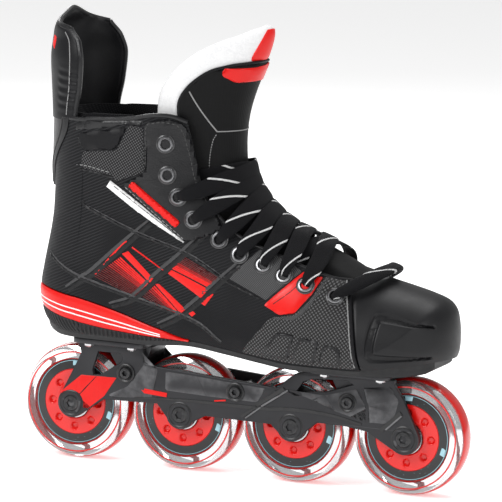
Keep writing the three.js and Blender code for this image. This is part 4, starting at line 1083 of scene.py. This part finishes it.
def add_sole():
    x = np.concatenate([float(heel_back(98)) + 0.4 + 36 * np.linspace(0, 1, 14) ** 2,
                        np.linspace(-104, 141, 100)])[:, None]
    inset = 2.5 * smooth((x - SEAM_X + 6) / 8)
    low = sole_bottom(x)
    high = np.where(x > SEAM_X - 3,
                    np.maximum(low + SOLE_THICK, 88.5 + CAP_EDGE_SLOPE * (x - SEAM_X) - 0.3),
                    low + SOLE_THICK)
    half = np.maximum(half_width(x, low + 4) - inset, 0.6)
    shape = np.array([(-0.9, 0), (-0.985, 0.12), (-1, 0.4), (-1, 1), (1, 1), (1, 0.4), (0.985, 0.12),
                      (0.9, 0)])
    ring = np.stack([np.broadcast_to(x, (len(x), len(shape))), centre_shift(x) + half * shape[:, 0],
                     mix(low, high, shape[:, 1])], -1)
    made = piece("sole_plate", ring.reshape(-1, 3), ring_faces(len(x), len(shape)), "sole_plastic")
    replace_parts(made, "outsole")
    t = np.linspace(-1, 1, 901)[:, None]
    levels = np.linspace(0, 1, 9)
    ribs = 0.45 * np.clip(1.6 * np.sin(t * 2 * math.pi * 46), -1,
                          1) * smooth(np.sin(levels * math.pi) * 3)
    outer = np.stack([wrap(t[:, 0], cup_height(l), 0.3 + ribs[:, k]) for k, l in enumerate(levels)], 1)
    inner = np.stack([wrap(t[:, 0], cup_height(l), -2.6) for l in levels], 1)
    shell("heel_cup", outer, inner, "sole_plastic")
    t = np.linspace(-1, 1, 181)
    levels = np.linspace(0, 1, 9)
    crown = 0.9 * np.sqrt(np.clip(1 - (2 * levels - 1) ** 4, 0, 1))
    outer = np.stack([wrap(t, band_height(l), c) for l, c in zip(levels, crown)], 1)
    inner = np.stack([wrap(t, band_height(l), -1.9) for l in levels], 1)
    made = shell("heel_band_rubber", outer, inner, "red_plastic")
    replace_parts(made, "heel_band")
    for number, level in enumerate((0.3, 0.52)):
        route = wrap(np.linspace(-0.86, 0.86, 160), band_height(level), 0.75)
        piece(f"heel_band_line_{number + 1}", *tube_mesh(route, 0.5), "print_white")


# ---------- boot: backstay and tendon guard ----------
guard_back = through([(236, -145), (241, -145.2), (252, -146), (263, -147), (280, -148), (291, -147),
                      (297, -146),
                      (303, -143.5), (312, -138)])
guard_front = through([(236, -117), (241, -117), (262, -114), (279, -113), (292, -116), (303, -124)])
guard_half = through([(236, 36.6), (241, 36.8), (262, 38), (279, 39), (303, 34)])
GUARD_THICK = 3.6
GUARD_START = 238.5


def guard_surface(rows, across):
    turn = across * math.pi / 2
    top = mix(312, 301, np.abs(np.sin(turn)) ** 1.5)
    z = mix(GUARD_START, top, rows)
    x = guard_back(z) + (guard_front(z) - guard_back(z)) * (1 - np.cos(turn))
    return Surface(np.stack([x, guard_half(z) * np.sin(turn), z], -1), (-1, 0, 0))


def bent(made):
    """Takes a piece off its rigid body and bakes its world transform into its mesh."""
    made.parent = None
    if "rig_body" in made:
        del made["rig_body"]
    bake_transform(made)


def bent_guard(made):
    bent(made)


def add_backstay_and_guard():
    level = np.linspace(0, 1, 40)
    z = mix(190, 240.5, level)[:, None]
    spread = mix(0.3, 1.15, smooth((z - 188) / 50))
    across = np.linspace(-1, 1, 41)
    edge = 1.3 * np.sqrt(np.clip(1 - np.abs(across) ** 12, 0, 1))
    made = shell("backstay_panel", heel_skin(across * spread, z, 0.7 + edge),
                 heel_skin(across * spread, z, 0.1), "leather")
    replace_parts(made, "backstay")
    z = np.linspace(192, 239, 60)
    for name, side in SIDES:
        spread = mix(0.3, 1.15, smooth((z - 188) / 50)) * 0.86
        piece(f"backstay_seam_{name}", *tube_mesh(heel_skin(side * spread, z, 2.0), 0.45), "thread")
    columns = np.linspace(-1, 1, 97)[None, :]
    rows = np.linspace(0, 1, 64)[:, None]
    rim = np.sqrt(np.clip(1 - np.maximum(np.abs(columns) ** 40, rows ** 60), 0, 1))
    ribs = (0.5 * np.sin(rows * 2 * math.pi * 11) * smooth((np.abs(columns) - 0.62) / 0.1)
            * smooth(rows * 4) * smooth((0.62 - rows) * 6))
    surface = guard_surface(rows, columns)
    u, v = np.meshgrid(np.linspace(0, 1, rows.size), np.linspace(0, 1, columns.size), indexing="ij")
    made = shell("tendon_guard_shell", surface.at(u, v, -0.9 + 0.9 * rim + ribs),
                 surface.at(u, v, -GUARD_THICK + 0.9 - 0.9 * rim), "smooth_leather")
    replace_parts(made, "tendon_guard")
    bent_guard(made)
    t = np.linspace(0, 1, 60)
    for name, column in (("lateral", 0.0), ("medial", 1.0)):
        route = surface.at(t, np.full(60, column), np.full(60, -GUARD_THICK / 2))
        bent_guard(piece(f"guard_binding_{name}", *tube_mesh(route, 1.9), "leather"))
        # A thin pale tube just inside each side edge of the guard is a painted highlight along the fold
        # of that edge.
        inset = abs(column - 0.07)
        route = surface.at(mix(0.06, 0.95, t), np.full(60, inset), np.full(60, 0.1))
        bent_guard(piece(f"guard_painted_highlight_{name}", *tube_mesh(route, 0.35), "pale_thread"))
    t = np.linspace(0, 1, 90)
    route = surface.at(np.full(90, 1.0), t, np.full(90, -GUARD_THICK / 2))
    bent_guard(piece("guard_binding_top", *tube_mesh(route, 1.9), "leather"))
    mark = patch_mesh(lambda u, v, o: surface.at(u / 100, v / 100, o),
                      soften([(70, 24), (84, 22), (84, 27), (74, 30)], 1), 0.0, 0.3, 0.4, 2.0)
    bent_guard(piece("guard_mark", *mark, "print_red"))


# ---------- boot: padded liner and footbed ----------
LINER_OUT = -QUARTER_THICK - 1.2
LINER_THICK = 6
LINER_TOP = [(40, 128), (20, 136), (0, 141), (-18, 149), (-36, 164), (-52, 182), (-66, 205), (-72, 230),
             (-73, 245.5), (-90, 245), (-106, 244.5)]


def add_liner():
    levels = np.linspace(0, 1, 40)
    share = np.linspace(0, 1, 70)[:, None]
    top = along(LINER_TOP, share[:, 0])
    foot = mix(52, float(heel_back(120)) + HEEL_RADIUS, share)
    base = np.where(foot < -28, band_bottom(foot) + 0.6, sole_bottom(foot) + SOLE_THICK + 0.6)
    turn = np.linspace(1.45, -1.45, 41)[:, None]
    rim = 1 - np.sqrt(np.clip(1 - smooth((levels - 0.9) / 0.1) ** 2, 0, 1))
    channel = 0.5 * np.abs(np.sin(levels * math.pi * 7)) ** 0.5
    crown = 1.2 * smooth((levels - 0.55) / 0.3)

    def rows(side, offset):
        return skin(side, mix(foot, top[:, :1], levels), mix(base, top[:, 1:], levels),
                    np.broadcast_to(offset, (len(foot), len(levels))))

    def grid(offset):
        heel = heel_skin(-turn, mix(float(band_bottom(-150.0)) + 0.6, 243.8, levels),
                         np.broadcast_to(offset, (len(turn), len(levels))))
        return np.vstack([rows(-1, offset), heel, rows(1, offset)[::-1]])

    made = shell("liner_padding", grid(LINER_OUT - rim * 2.6),
                 grid(LINER_OUT - LINER_THICK - channel - crown + rim * 2.6),
                 "lining", sharp=60)
    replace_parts(made, "ankle_liner")


# ---------- boot: tongue ----------
TONGUE_EDGE = [(104, 125), (94, 129), (82, 133.5), (66, 138), (46, 144.5), (28, 150), (8, 157), (-8, 166),
               (-24, 176.5), (-36, 190), (-44, 205), (-50, 220), (-56, 234)]
FLAP_RIBS = [((-6, 249), (-58, 33, 257)), ((-1.5, 265), (-53, 33, 270)), ((4, 279), (-45, 31, 281)),
             ((8.5, 291), (-33, 26, 292)), ((11.3, 300.5), (-20, 19, 299.5)),
             ((11.5, 307), (-7, 11, 304.5)),
             ((8, 311), (3, 4, 308))]
TONGUE_COLUMNS = 81
TONGUE_THICK = 7.5


def tongue_surface():
    """The tongue's outer surface: ribs under the throat, then free ribs up to the tip."""
    across = np.linspace(-1, 1, TONGUE_COLUMNS)
    side = np.where(across < 0, -1.0, 1.0)
    lift = 1 - across ** 2
    base = []
    for x, z in TONGUE_EDGE:
        crown = nearest(DORSUM, x, z)[1]
        flat_x, flat_z = mix(x, crown[0], lift), mix(z, crown[1], lift)
        base.append(np.stack([flat_x, side * half_width(flat_x, flat_z) + centre_shift(flat_x), flat_z],
                             -1))
    depth = mix(4.2, 7.8, smooth((np.abs(across) - 0.45) / 0.3))
    u, v = np.meshgrid(np.linspace(0, 1, len(base)), np.linspace(0, 1, TONGUE_COLUMNS), indexing="ij")
    ribs = list(Surface(base, (1, 0, 1)).at(u, v, -np.broadcast_to(depth, u.shape)))
    for crown, edge in FLAP_RIBS:
        reach = math.hypot(edge[0] - crown[0], edge[2] - crown[1])
        back = np.array([edge[0] - crown[0], edge[2] - crown[1]]) / reach
        angle = across * math.pi / 2
        far = reach * (1 - np.cos(angle))
        ribs.append(np.stack([crown[0] + back[0] * far, edge[1] * np.sin(angle),
                              crown[1] + back[1] * far], -1))
    flat = curve(np.array(ribs).reshape(len(ribs), -1), 8).reshape(-1, TONGUE_COLUMNS, 3)
    return Surface(flat, (1, 0, 0.3))


def bent_tongue(made):
    bent(made)


def add_tongue():
    surface = tongue_surface()
    rows, columns = surface.points.shape[:2]
    u, v = np.meshgrid(np.linspace(0, 1, rows), np.linspace(0, 1, columns), indexing="ij")
    near_edge = np.maximum(np.abs(2 * v - 1) ** 14, u ** 50)
    rim = 1 - np.sqrt(np.clip(1 - near_edge, 0, 1))
    step = -0.7 * smooth((np.abs(2 * v - 1) - 0.86) / 0.02)
    fade = mix(1.0, 0.55, smooth((u - 0.93) / 0.07))
    made = shell("tongue_padding", surface.at(u, v, -rim * 2.4 * fade + step),
                 surface.at(u, v, (-TONGUE_THICK + rim * 2.4) * fade), "felt", sharp=60)
    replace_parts(made, "tongue_base", "tongue_flap")
    bent_tongue(made)

    def place(across, up, offset):
        return surface.at(up / 100, across / 100, offset)

    left = [(9.5, 2), (9.5, 68), (10, 70.5), (11, 73.7), (15.7, 78.5), (25, 80.5), (40, 81.6)]
    cover = soften(left + [(100 - across, up) for across, up in reversed(left)], 3, 4, keep=(0, 13))
    bent_tongue(patch("tongue_cover", place, cover, "tongue_cover", 0.0, 1.7, 1.4, 2.0, body=None))
    rim = [(across, up) for across, up in cover if up > 5]
    bent_tongue(piping("tongue_cover_piping", place, rim, 1.0, "smooth_leather", 1.0, body=None, steps=1))
    tip = soften([(34, 81.6), (34, 95), (62, 95), (62, 81.8)], 2.5, 4)
    bent_tongue(patch("tongue_tip", place, tip, "print_red", 0.0, 0.8, 0.5, 1.5, body=None))
    tab = soften([(21, 79.4), (62, 81), (62, 76.6), (31, 75.8), (23, 77.2)], 1.6, 5)
    bent_tongue(patch("tongue_tab", place, tab, "red_plastic", 1.6, 1.0, 0.5, 1.5, body=None))
    shoulder = [(12.5, 72.2), (20, 68), (26.4, 64.4)]
    middle = [(26.4, 64.4), (38, 64.6), (50, 64.7), (62, 64.6), (73.6, 64.4)]
    for name, mirror in (("lateral", 1), ("medial", -1)):
        flat = np.array(curve([(50 + mirror * (across - 50), up) for across, up in shoulder], 8))
        route = place(flat[:, 0], flat[:, 1], np.full(len(flat), 1.75))
        bent_tongue(piece(f"tongue_shoulder_seam_{name}", *tube_mesh(route, 0.5), "pale_thread",
                          body=None))
        down = [(50 + mirror * (across - 50), up) for across,
                up in ((26, 64), (23, 61.4), (19, 53), (20, 48))]
        bent_tongue(stitches(f"tongue_stitch_{name}", place, down, "pale_thread", 1.75, 0.9, 0.45,
                             0.35, body=None))
    flat = np.array(curve(middle, 8))
    bent_tongue(piece("tongue_middle_seam",
                      *tube_mesh(place(flat[:, 0], flat[:, 1], np.full(len(flat), 1.75)), 0.4),
                      "pale_thread", body=None))


# ---------- boot: lace ----------
LACE_WIDE = 12.5
LACE_THICK = 1.7
TOP_LACED = 2
LOOP_CROWN = (101, 144.6)


def over_tongue(row, across, offset):
    """A point and its normal across the throat: across is -1 at the lateral eyelet, 0 at the crown."""
    low = int(min(max(math.floor(row), 0), len(EYELETS) - 2))
    eyelet = mix(np.array(EYELETS[low], float), np.array(EYELETS[low + 1], float), row - low)
    crown = nearest(DORSUM, *eyelet)[1]
    flat = mix(eyelet, crown, 1 - across * across)
    return surface_point(flat, across, offset)


def surface_point(flat, across, offset):
    if abs(across) < 0.05:
        centre = crown_point(*flat)
        normal = crown_point(*flat, 1.0) - centre
    else:
        side = -1 if across < 0 else 1
        centre = skin(side, *flat)
        normal = skin(side, *flat, 1.0) - centre
    return np.concatenate([centre + normal * offset, normal])


def lace_mesh(stations, widths, start_length, thick=LACE_THICK):
    """A flat lace through points with normals, narrower where it gathers at a hole."""
    route = curve(np.array(stations), 6)
    wide = np.interp(np.linspace(0, 1, len(route)), np.linspace(0, 1, len(widths)), widths)
    centres, normals = route[:, :3], route[:, 3:]
    tangent = np.gradient(centres, axis=0)
    tangent /= np.linalg.norm(tangent, axis=1, keepdims=True)
    normals = normals - tangent * (normals * tangent).sum(1, keepdims=True)
    normals /= np.linalg.norm(normals, axis=1, keepdims=True)
    across = np.cross(tangent, normals)
    travel = start_length + np.concatenate([[0], np.cumsum(np.linalg.norm(np.diff(centres, axis=0),
                                                                          axis=1))])
    sides = 14
    angle = np.linspace(0, 2 * math.pi, sides, endpoint=False)
    flat = np.sign(np.cos(angle)) * np.abs(np.cos(angle)) ** 0.7
    deep = np.sign(np.sin(angle)) * np.abs(np.sin(angle)) ** 0.8
    gather = 1 + 0.5 * (LACE_WIDE - wide)[:, None, None] / LACE_WIDE
    points = (centres[:, None] + across[:, None] * (flat[:, None] * wide[:, None, None] / 2)
              + normals[:, None] * (deep[:, None] * thick / 2 * gather))
    uv = np.stack([np.broadcast_to(travel[:, None], (len(route), sides)),
                   np.broadcast_to(flat * LACE_WIDE / 2 + LACE_WIDE / 2, (len(route), sides))], -1)
    return points.reshape(-1, 3), ring_faces(len(route), sides), uv.reshape(-1, 2)


def add_laces():
    last = len(EYELETS) - 1
    travel = 0.0
    for side_name, side in SIDES:
        for row in range(last - 1, TOP_LACED - 1, -1):
            out = 3.0 if row < FACED_ROWS else 1.0
            over = 3.6 if side < 0 else 1.6
            climb = 0.7 if row == TOP_LACED else 1.0
            steps = [(-1, out - 4.5), (-0.99, out), (-0.93, out + 2.6), (-0.78, out + 2.9),
                     (-0.55, out + 2.2),
                     (-0.3, over + 0.6), (0, over), (0.25, over - 0.6), (0.42, -0.6), (0.58, -3.2),
                     (0.74, -4)]
            stations = [over_tongue(row - climb * smooth((a + 1) / 1.9), -side * a, offset) for a,
                        offset in steps]
            widths = [5.2, 5.6, 8.5, 11, LACE_WIDE, LACE_WIDE, LACE_WIDE, LACE_WIDE, LACE_WIDE, 11, 10]
            points, faces, uv = lace_mesh(stations, widths, travel)
            piece(f"lace_{row + 1}_{side_name}", points, faces, "lace_weave", uv=uv)
            travel += 41
    loop = []
    for across in (-1, -0.99, -0.93, -0.8, -0.62, -0.4, -0.2, 0, 0.2, 0.4, 0.62, 0.8, 0.93, 0.99, 1):
        lift = 1 - abs(across) ** 1.6
        flat = mix(np.array(EYELETS[last], float), np.array(LOOP_CROWN), lift)
        if abs(across) < 0.05:
            flat = nearest(DORSUM, *flat)[1]
        offset = -3.5 if abs(across) == 1 else 1.0 if abs(across) == 0.99 else mix(3.4, 7.6,
                                                                                   smooth(lift * 1.3))
        loop.append(surface_point(flat, across, offset))
    widths = [4.4, 4.8, 7, 8.5, 9.5, 10, 10, 10, 10, 10, 9.5, 8.5, 7, 4.8, 4.4]
    points, faces, uv = lace_mesh(loop, widths, travel, 4.4)
    made = piece("lace_toe_loop", points, faces, "lace_weave", uv=uv)
    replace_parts(made, "lace")


# ---------- frame ----------
RAIL_INNER = 14
RAIL_OUTER = 18
AXLES = [(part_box(f"tyre_{w}")[0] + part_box(f"tyre_{w}")[1]) / 2 / MM for w in WHEELS]
AXLE_HEIGHT = AXLES[0].z
REAR_TOP = 83.7
FRONT_TOP = 79.4
REAR_WINDOW = [(-103, 78), (-86, 78), (-84, 75), (-86, 72), (-101, 62), (-106, 61.5), (-107, 65)]
FRONT_WINDOW = [(44, 64.5), (49, 72), (56, 74.5), (81, 76), (85, 73.5), (66, 67)]
CROSS_BOLTS = [("rear", -81.6, 65), ("middle", 0, 60), ("front", 81.6, 61)]


def arc(x, z, radius, start, end, steps=10):
    return [(x + radius * math.cos(a), z + radius * math.sin(a))
            for a in np.radians(np.linspace(start, end, steps))]


def rail_outline():
    rear, mid_rear, mid_front, front = (a.x for a in AXLES)
    return [
        (-118, REAR_TOP), (-116, 76), (-120, 67), *arc(rear, AXLE_HEIGHT, 10.2, 140, 300),
        (-98, 45), (-58, 46), *arc(mid_rear, AXLE_HEIGHT, 10.2, 195, 335), (-22, 41), (26, 40.5),
        *arc(mid_front, AXLE_HEIGHT, 10.2, 205, 340), (60, 45), (81, 44.5), (96, 42.5),
        *arc(front, AXLE_HEIGHT, 10.8, 235, 390), (121, 67), (114.5, 76), (115, FRONT_TOP),
        (52, FRONT_TOP), (43, 77), (38, 73), (30, 66), (4, 67.5), (-30, 70), (-62, 72), (-67, 74.5),
        (-70, REAR_TOP)]


def plate(name, outline, holes, centre, half, bevel, finish, upright=True):
    """A flat plate with rounded edges, standing in the side view or lying level."""
    drawing = bpy.data.curves.new(name, "CURVE")
    drawing.dimensions, drawing.fill_mode = "2D", "BOTH"
    drawing.extrude, drawing.bevel_depth = (half - bevel) * MM, bevel * MM
    drawing.offset, drawing.bevel_resolution = -bevel * MM, 2
    for loop in [outline, *holes]:
        spline = drawing.splines.new("POLY")
        spline.points.add(len(loop) - 1)
        for point, (a, b) in zip(spline.points, loop):
            point.co = (a * MM, b * MM, 0, 1)
        spline.use_cyclic_u = True
    flat = bpy.data.objects.new(name, drawing)
    bpy.context.scene.collection.objects.link(flat)
    mesh = bpy.data.meshes.new_from_object(flat.evaluated_get(bpy.context.evaluated_depsgraph_get()))
    bpy.data.objects.remove(flat)
    if upright:
        mesh.transform(Matrix.Rotation(math.pi / 2, 4, "X"))
        mesh.transform(Matrix.Translation((0, centre * MM, 0)))
    else:
        mesh.transform(Matrix.Translation((0, 0, centre * MM)))
    mesh.name = name
    return settle(name, mesh, finish, sharp=30)


def on_rail(side):
    return lambda x, z, offset: np.stack([x, side * (RAIL_OUTER + offset), z], -1)


RAIL_PANELS = [
    ("rear_decal", "print_red", [(-115.2, 60.5), (-88.6, 61), (-97.4, 47.5), (-109.5, 37.5),
     *arc(AXLES[0].x, AXLES[0].z, 9.3, -14, 140, 12), (-130.4, 47.4)], 0.25, 0.4),
    ("rear_decal_cut", "print_black", [(-104, 60.6), (-102.4, 60.6), (-116.4, 46), (-117.8, 46.6)], 0.4,
     0.1),
    ("upper_facet", "frame_metal", [(28, 63.8), (36, 66), (55.8, 60.4), (73.8, 54), (95, 49.2),
     (94.6, 59.3), (88.5, 71), (66, 64.6), (44, 61.8)], 0.9, 1.2),
    ("front_facet", "frame_metal", [(96.6, 49), (110, 49.4), (115.8, 56), (118, 66), (112, 75), (92, 72),
     (97, 60)], 0.9, 1.2),
    ("rear_facet", "frame_metal", [(-70.5, 81), (-68.5, 72), (-80, 56), (-94.5, 48.6), (-92, 47.4),
     (-62, 49.6), (-58, 69.6)], 0.9, 1.2),
    ("middle_facet", "frame_metal", [(-52, 69), (-52, 56), (-20, 55), (16, 54.6), (22, 64.6), (4, 65.6),
     (-30, 68)], 0.5, 1.2),
]
RAIL_BANDS = [
    ("low_rib", [(-74.5, 48.6), (-34.5, 50.6), (18.3, 50.6), (40, 52.2), (67.2, 51.4), (92, 47.2)],
     "frame_dark", [0.8, 2.4, 2.4, 1.6]),
    ("stripe_a", [(15.2, 52.2), (35.4, 66)], "frame_dark", [2.6, 2.6]),
    ("stripe_b", [(19.4, 52.2), (38.4, 65.2)], "frame_light", [1.2, 1.2]),
    ("stripe_c", [(5, 43.5), (16, 52)], "frame_dark", [2, 2]),
    ("stripe_d", [(8, 43), (19, 51.6)], "frame_light", [1, 1]),
    ("stripe_e", [(106.2, 44.5), (120, 57.9)], "frame_dark", [2.6, 2.6]),
    ("stripe_f", [(109.7, 45.5), (120.8, 56)], "frame_light", [1.1, 1.1]),
    ("red_dash", [(-15.3, 52.4), (-6.9, 53.6)], "print_red", [1, 1]),
    ("long_red_dash", [(-74, 54.6), (-50.6, 52.8)], "print_red", [3.4, 3]),
]


def add_rails():
    for name, side in SIDES:
        made = plate(f"rail_{name}", rail_outline(), [REAR_WINDOW[::-1], FRONT_WINDOW[::-1]],
                     side * (RAIL_INNER + RAIL_OUTER) / 2, 2, 0.7, "frame_metal")
        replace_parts(made, f"frame_rail_{name}")
        cups = [turned_mesh([(0.01, -3), (9.2, -3), (9.2, 3), (0.01, 3)], 40,
                            (a.x, side * (RAIL_OUTER + 1), a.z))
                for a in AXLES]
        carve(made, *merge(cups))
        for panel, finish, outline, thick, radius in RAIL_PANELS:
            patch(f"{panel}_{name}", on_rail(side), soften(outline, radius), finish, 0.0, thick,
                  edge=min(0.8, thick), cell=12)
        for band, path, finish, widths in RAIL_BANDS:
            outline = ribbon(curve(path, 6 if len(path) > 2 else 2), widths)
            patch(f"{band}_{name}", on_rail(side), outline, finish, 0.9 if "stripe" in band else 0.5,
                  0.25, 0.15, 12)


def add_mounts():
    for name, start, end, low, high, bolt in (("rear_mount", -120, -66, 84, 87.7, CROSS_BOLTS[0]),
                                              ("front_mount", 55, 113, 79.7, 82.7, CROSS_BOLTS[2])):
        half = 26.5
        outline = soften([(start, -half), (end, -half), (end, half), (start, half)], 7, 6)
        top = plate(f"{name}_plate", outline, [], (low + high) / 2, (high - low) / 2, 0.8, "frame_metal",
                    False)
        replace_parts(top, name)
        _, x, z = bolt
        web = [(x - 17, low + 0.5), (x - 14.5, 77), (x - 6, z - 1), (x - 3.5, z - 5), (x + 3.5, z - 5),
               (x + 6, z - 1),
               (x + 14.5, 77), (x + 17, low + 0.5)]
        plate(f"{name}_web", soften(web, 2.5, 4), [], 0, RAIL_INNER - 0.3, 0.8, "frame_metal")


def socket_head(name, x, z, y, radius, side):
    """A round bolt head with a hexagon socket, facing away from the frame."""
    steps = 48
    angles = np.linspace(0, 2 * math.pi, steps, endpoint=False)
    hexagon = radius * 0.5 * math.cos(math.pi / 6) / np.cos((angles % (math.pi / 3)) - math.pi / 6)
    rings = [(radius * 0.9, -0.6), (radius, -0.3), (radius, 1.2), (radius * 0.86, 2.2),
             (radius * 0.62, 2.4)]
    rings += [(hexagon, 2.4), (hexagon, 0.4)]
    rows = [np.stack([x + r * np.cos(angles), np.full(steps, side * (y + h)), z + r * np.sin(angles)], -1)
            for r, h in rings]
    return piece(name, np.vstack(rows), ring_faces(len(rows), steps), "black_steel")


def add_bolts():
    for name, x, z in CROSS_BOLTS:
        seat = turned_mesh([(4.6, -1), (6.6, -1), (6.6, 0.5), (5.8, 0.9), (4.6, 0.3)], 40,
                           (x, -RAIL_OUTER - 0.5, z))
        piece(f"cross_washer_{name}", *seat, "frame_dark")
        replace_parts(socket_head(f"cross_head_{name}", x, z, RAIL_OUTER, 4.2, -1), f"cross_bolt_{name}")
        rod = turned_mesh([(0.01, -RAIL_OUTER), (2.5, -RAIL_OUTER), (2.5, RAIL_OUTER - 0.4),
                           (0.01, RAIL_OUTER - 0.4)],
                          24, (x, 0, z))
        piece(f"cross_rod_{name}", *rod, "steel")
    for name, axle in zip(WHEELS, AXLES):
        for side_name, side in SIDES:
            centre = (axle.x, side * (RAIL_OUTER - 1.6), axle.z)
            cup = [(4.4, -0.6), (9.1, -0.6), (9.1, 1.7), (8.4, 2.1), (7.6, 1.6), (7.2, 0.2), (4.4, 0.2)]
            piece(f"axle_cup_{name}_{side_name}", *turned_mesh(cup, 48, centre, (0, side, 0)),
                  "frame_dark")
        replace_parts(socket_head(f"axle_head_{name}", axle.x, axle.z, RAIL_OUTER - 1.2, 5.8, -1),
                    f"axle_bolt_{name}")
        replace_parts(socket_head(f"axle_screw_{name}", axle.x, axle.z, RAIL_OUTER - 1.2, 5.8, 1),
                    f"axle_nut_{name}")
        rod = turned_mesh([(0.01, -16.5), (4, -16.5), (4, 16.5), (0.01, 16.5)], 24, tuple(axle))
        piece(f"axle_rod_{name}", *rod, "steel")


# ---------- wheels ----------
WHEEL_SEGMENTS = 96
DIMPLES = 8


def hub_mesh(centre):
    """The red core: a turned body with round dimples between its bore and its rim on both faces."""
    radii = np.linspace(11.4, 22.4, 16)
    steps = 240
    angles = np.linspace(0, 2 * math.pi, steps, endpoint=False)
    spots = [(17 * math.cos(a), 17 * math.sin(a)) for a in np.arange(DIMPLES) * 2 * math.pi / DIMPLES]
    rows = []

    def face(side, order):
        for r in order:
            x, z = r * np.cos(angles), r * np.sin(angles)
            gap = np.min([np.hypot(x - a, z - b) for a, b in spots], axis=0)
            dip = 2.2 * (1 - smooth((gap - 1.6) / 1.4))
            ridge = 0.5 * smooth(1 - abs(r - 12.4) / 1.2)
            rows.append(np.stack([centre[0] + x, np.full(steps, side * (11.2 + ridge)) - side * dip,
                                  centre[2] + z], -1))

    face(-1, radii)
    for r, y in ((22.7, -10.6), (29.6, -9.7), (30.2, -9.2), (30.2, 9.2), (29.6, 9.7), (22.7, 10.6)):
        rows.append(np.stack([centre[0] + r * np.cos(angles), np.full(steps, y),
                              centre[2] + r * np.sin(angles)], -1))
    face(1, radii[::-1])
    for r, y in ((11.3, 5), (8.6, 4.8), (8.6, -4.8), (11.3, -5)):
        rows.append(np.stack([centre[0] + r * np.cos(angles), np.full(steps, y),
                              centre[2] + r * np.sin(angles)], -1))
    return np.vstack(rows), ring_faces(len(rows), steps, looped=True)


def add_wheels():
    for name, axle in zip(WHEELS, AXLES):
        body = f"wheel_{name}"
        centre = tuple(axle)
        half = [(30.4, 11.6), (32, 12), (34.8, 11.9), (36.6, 10.9), (38.2, 8.8), (39.3, 5.8), (39.85, 3),
                (40, 0)]
        profile = half + [(r, -y) for r, y in reversed(half[:-1])]
        tyre = piece(f"urethane_{name}", *turned_mesh(profile, WHEEL_SEGMENTS, centre), "urethane", body)
        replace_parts(tyre, f"tyre_{name}")
        hub = piece(f"hub_{name}", *hub_mesh(centre), "core_red", body)
        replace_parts(hub, f"wheel_core_{name}")
        band = [(38.2, 0), (38.2, -7.4), (39.2, -6.6), (39.9, -4), (40.15, 0), (39.9, 4), (39.2, 6.6),
                (38.2, 7.4)]
        piece(f"tread_band_{name}", *turned_mesh(band, WHEEL_SEGMENTS, centre), "tyre_red", body)
        for side_name, side in SIDES:
            axis = (0, side, 0)
            label = [(22.9, 9.2), (29.4, 9.2), (29.4, 10.0), (22.9, 10.85)]
            piece(f"label_{name}_{side_name}", *turned_mesh(label, WHEEL_SEGMENTS, centre, axis),
                  "label_black", body)
            line = [(28.4, 9.8), (28.7, 9.8), (28.7, 10.25), (28.4, 10.3)]
            piece(f"label_line_{name}_{side_name}", *turned_mesh(line, WHEEL_SEGMENTS, centre, axis),
                  "label_blue", body)
            for number, turn in enumerate((-22, 84)):
                block = []
                for a, b in ((0, 0), (12, 0), (12, 1), (0, 1)):
                    angle = math.radians(turn + a)
                    block.append(((25.2 + 3.2 * b) * math.cos(angle), (25.2 + 3.2 * b) * math.sin(angle)))

                def place(x, z, offset, side=side, centre=centre):
                    y = 10.75 - 0.13 * (np.hypot(x, z) - 23)
                    return np.stack([centre[0] + x, side * (y + offset), centre[2] + z], -1)

                patch(f"label_block_{number + 1}_{name}_{side_name}", place, block, "label_blue", 0.05,
                      0.3, 0.1, 2.0, body)
            rim = turned_mesh([(34.2, 11.75), (35.2, 11.7), (35.2, 12.05), (34.2, 12.1)], WHEEL_SEGMENTS,
                              centre, axis)
            piece(f"tread_line_{name}_{side_name}", *rim, "tyre_red", body)
            cap = [(4.3, 5.2), (11, 5.2), (11, 12), (10.2, 12.1), (9.6, 11.6), (6.8, 11.6), (6.4, 12.1),
                   (4.3, 12.1)]
            bearing = piece(f"bearing_ring_{name}_{side_name}", *turned_mesh(cap, 48, centre, axis),
                            "steel", body)
            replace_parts(bearing, f"bearing_{name}_{side_name}")


# ---------- the whole scene ----------
def finish_frame_nodes():
    """Finishes for the CAD nodes that stay in view."""
    finishes = {"footbed": "lining", "cross_sleeve_middle": "steel"}
    for name in frame["nodes"]:
        if "_rivet_" in name or name.startswith("bearing_spacer"):
            finishes[name] = "steel"
    for name, finish in finishes.items():
        for slot in frame["nodes"][name].material_slots:
            slot.material = FINISH[finish].material


add_camera()
add_studio()
add_quarters()
add_panels()
add_eyelets()
add_toe_cap()
add_sole()
add_backstay_and_guard()
add_liner()
add_tongue()
add_laces()
add_rails()
add_mounts()
add_bolts()
add_wheels()
finish_frame_nodes()
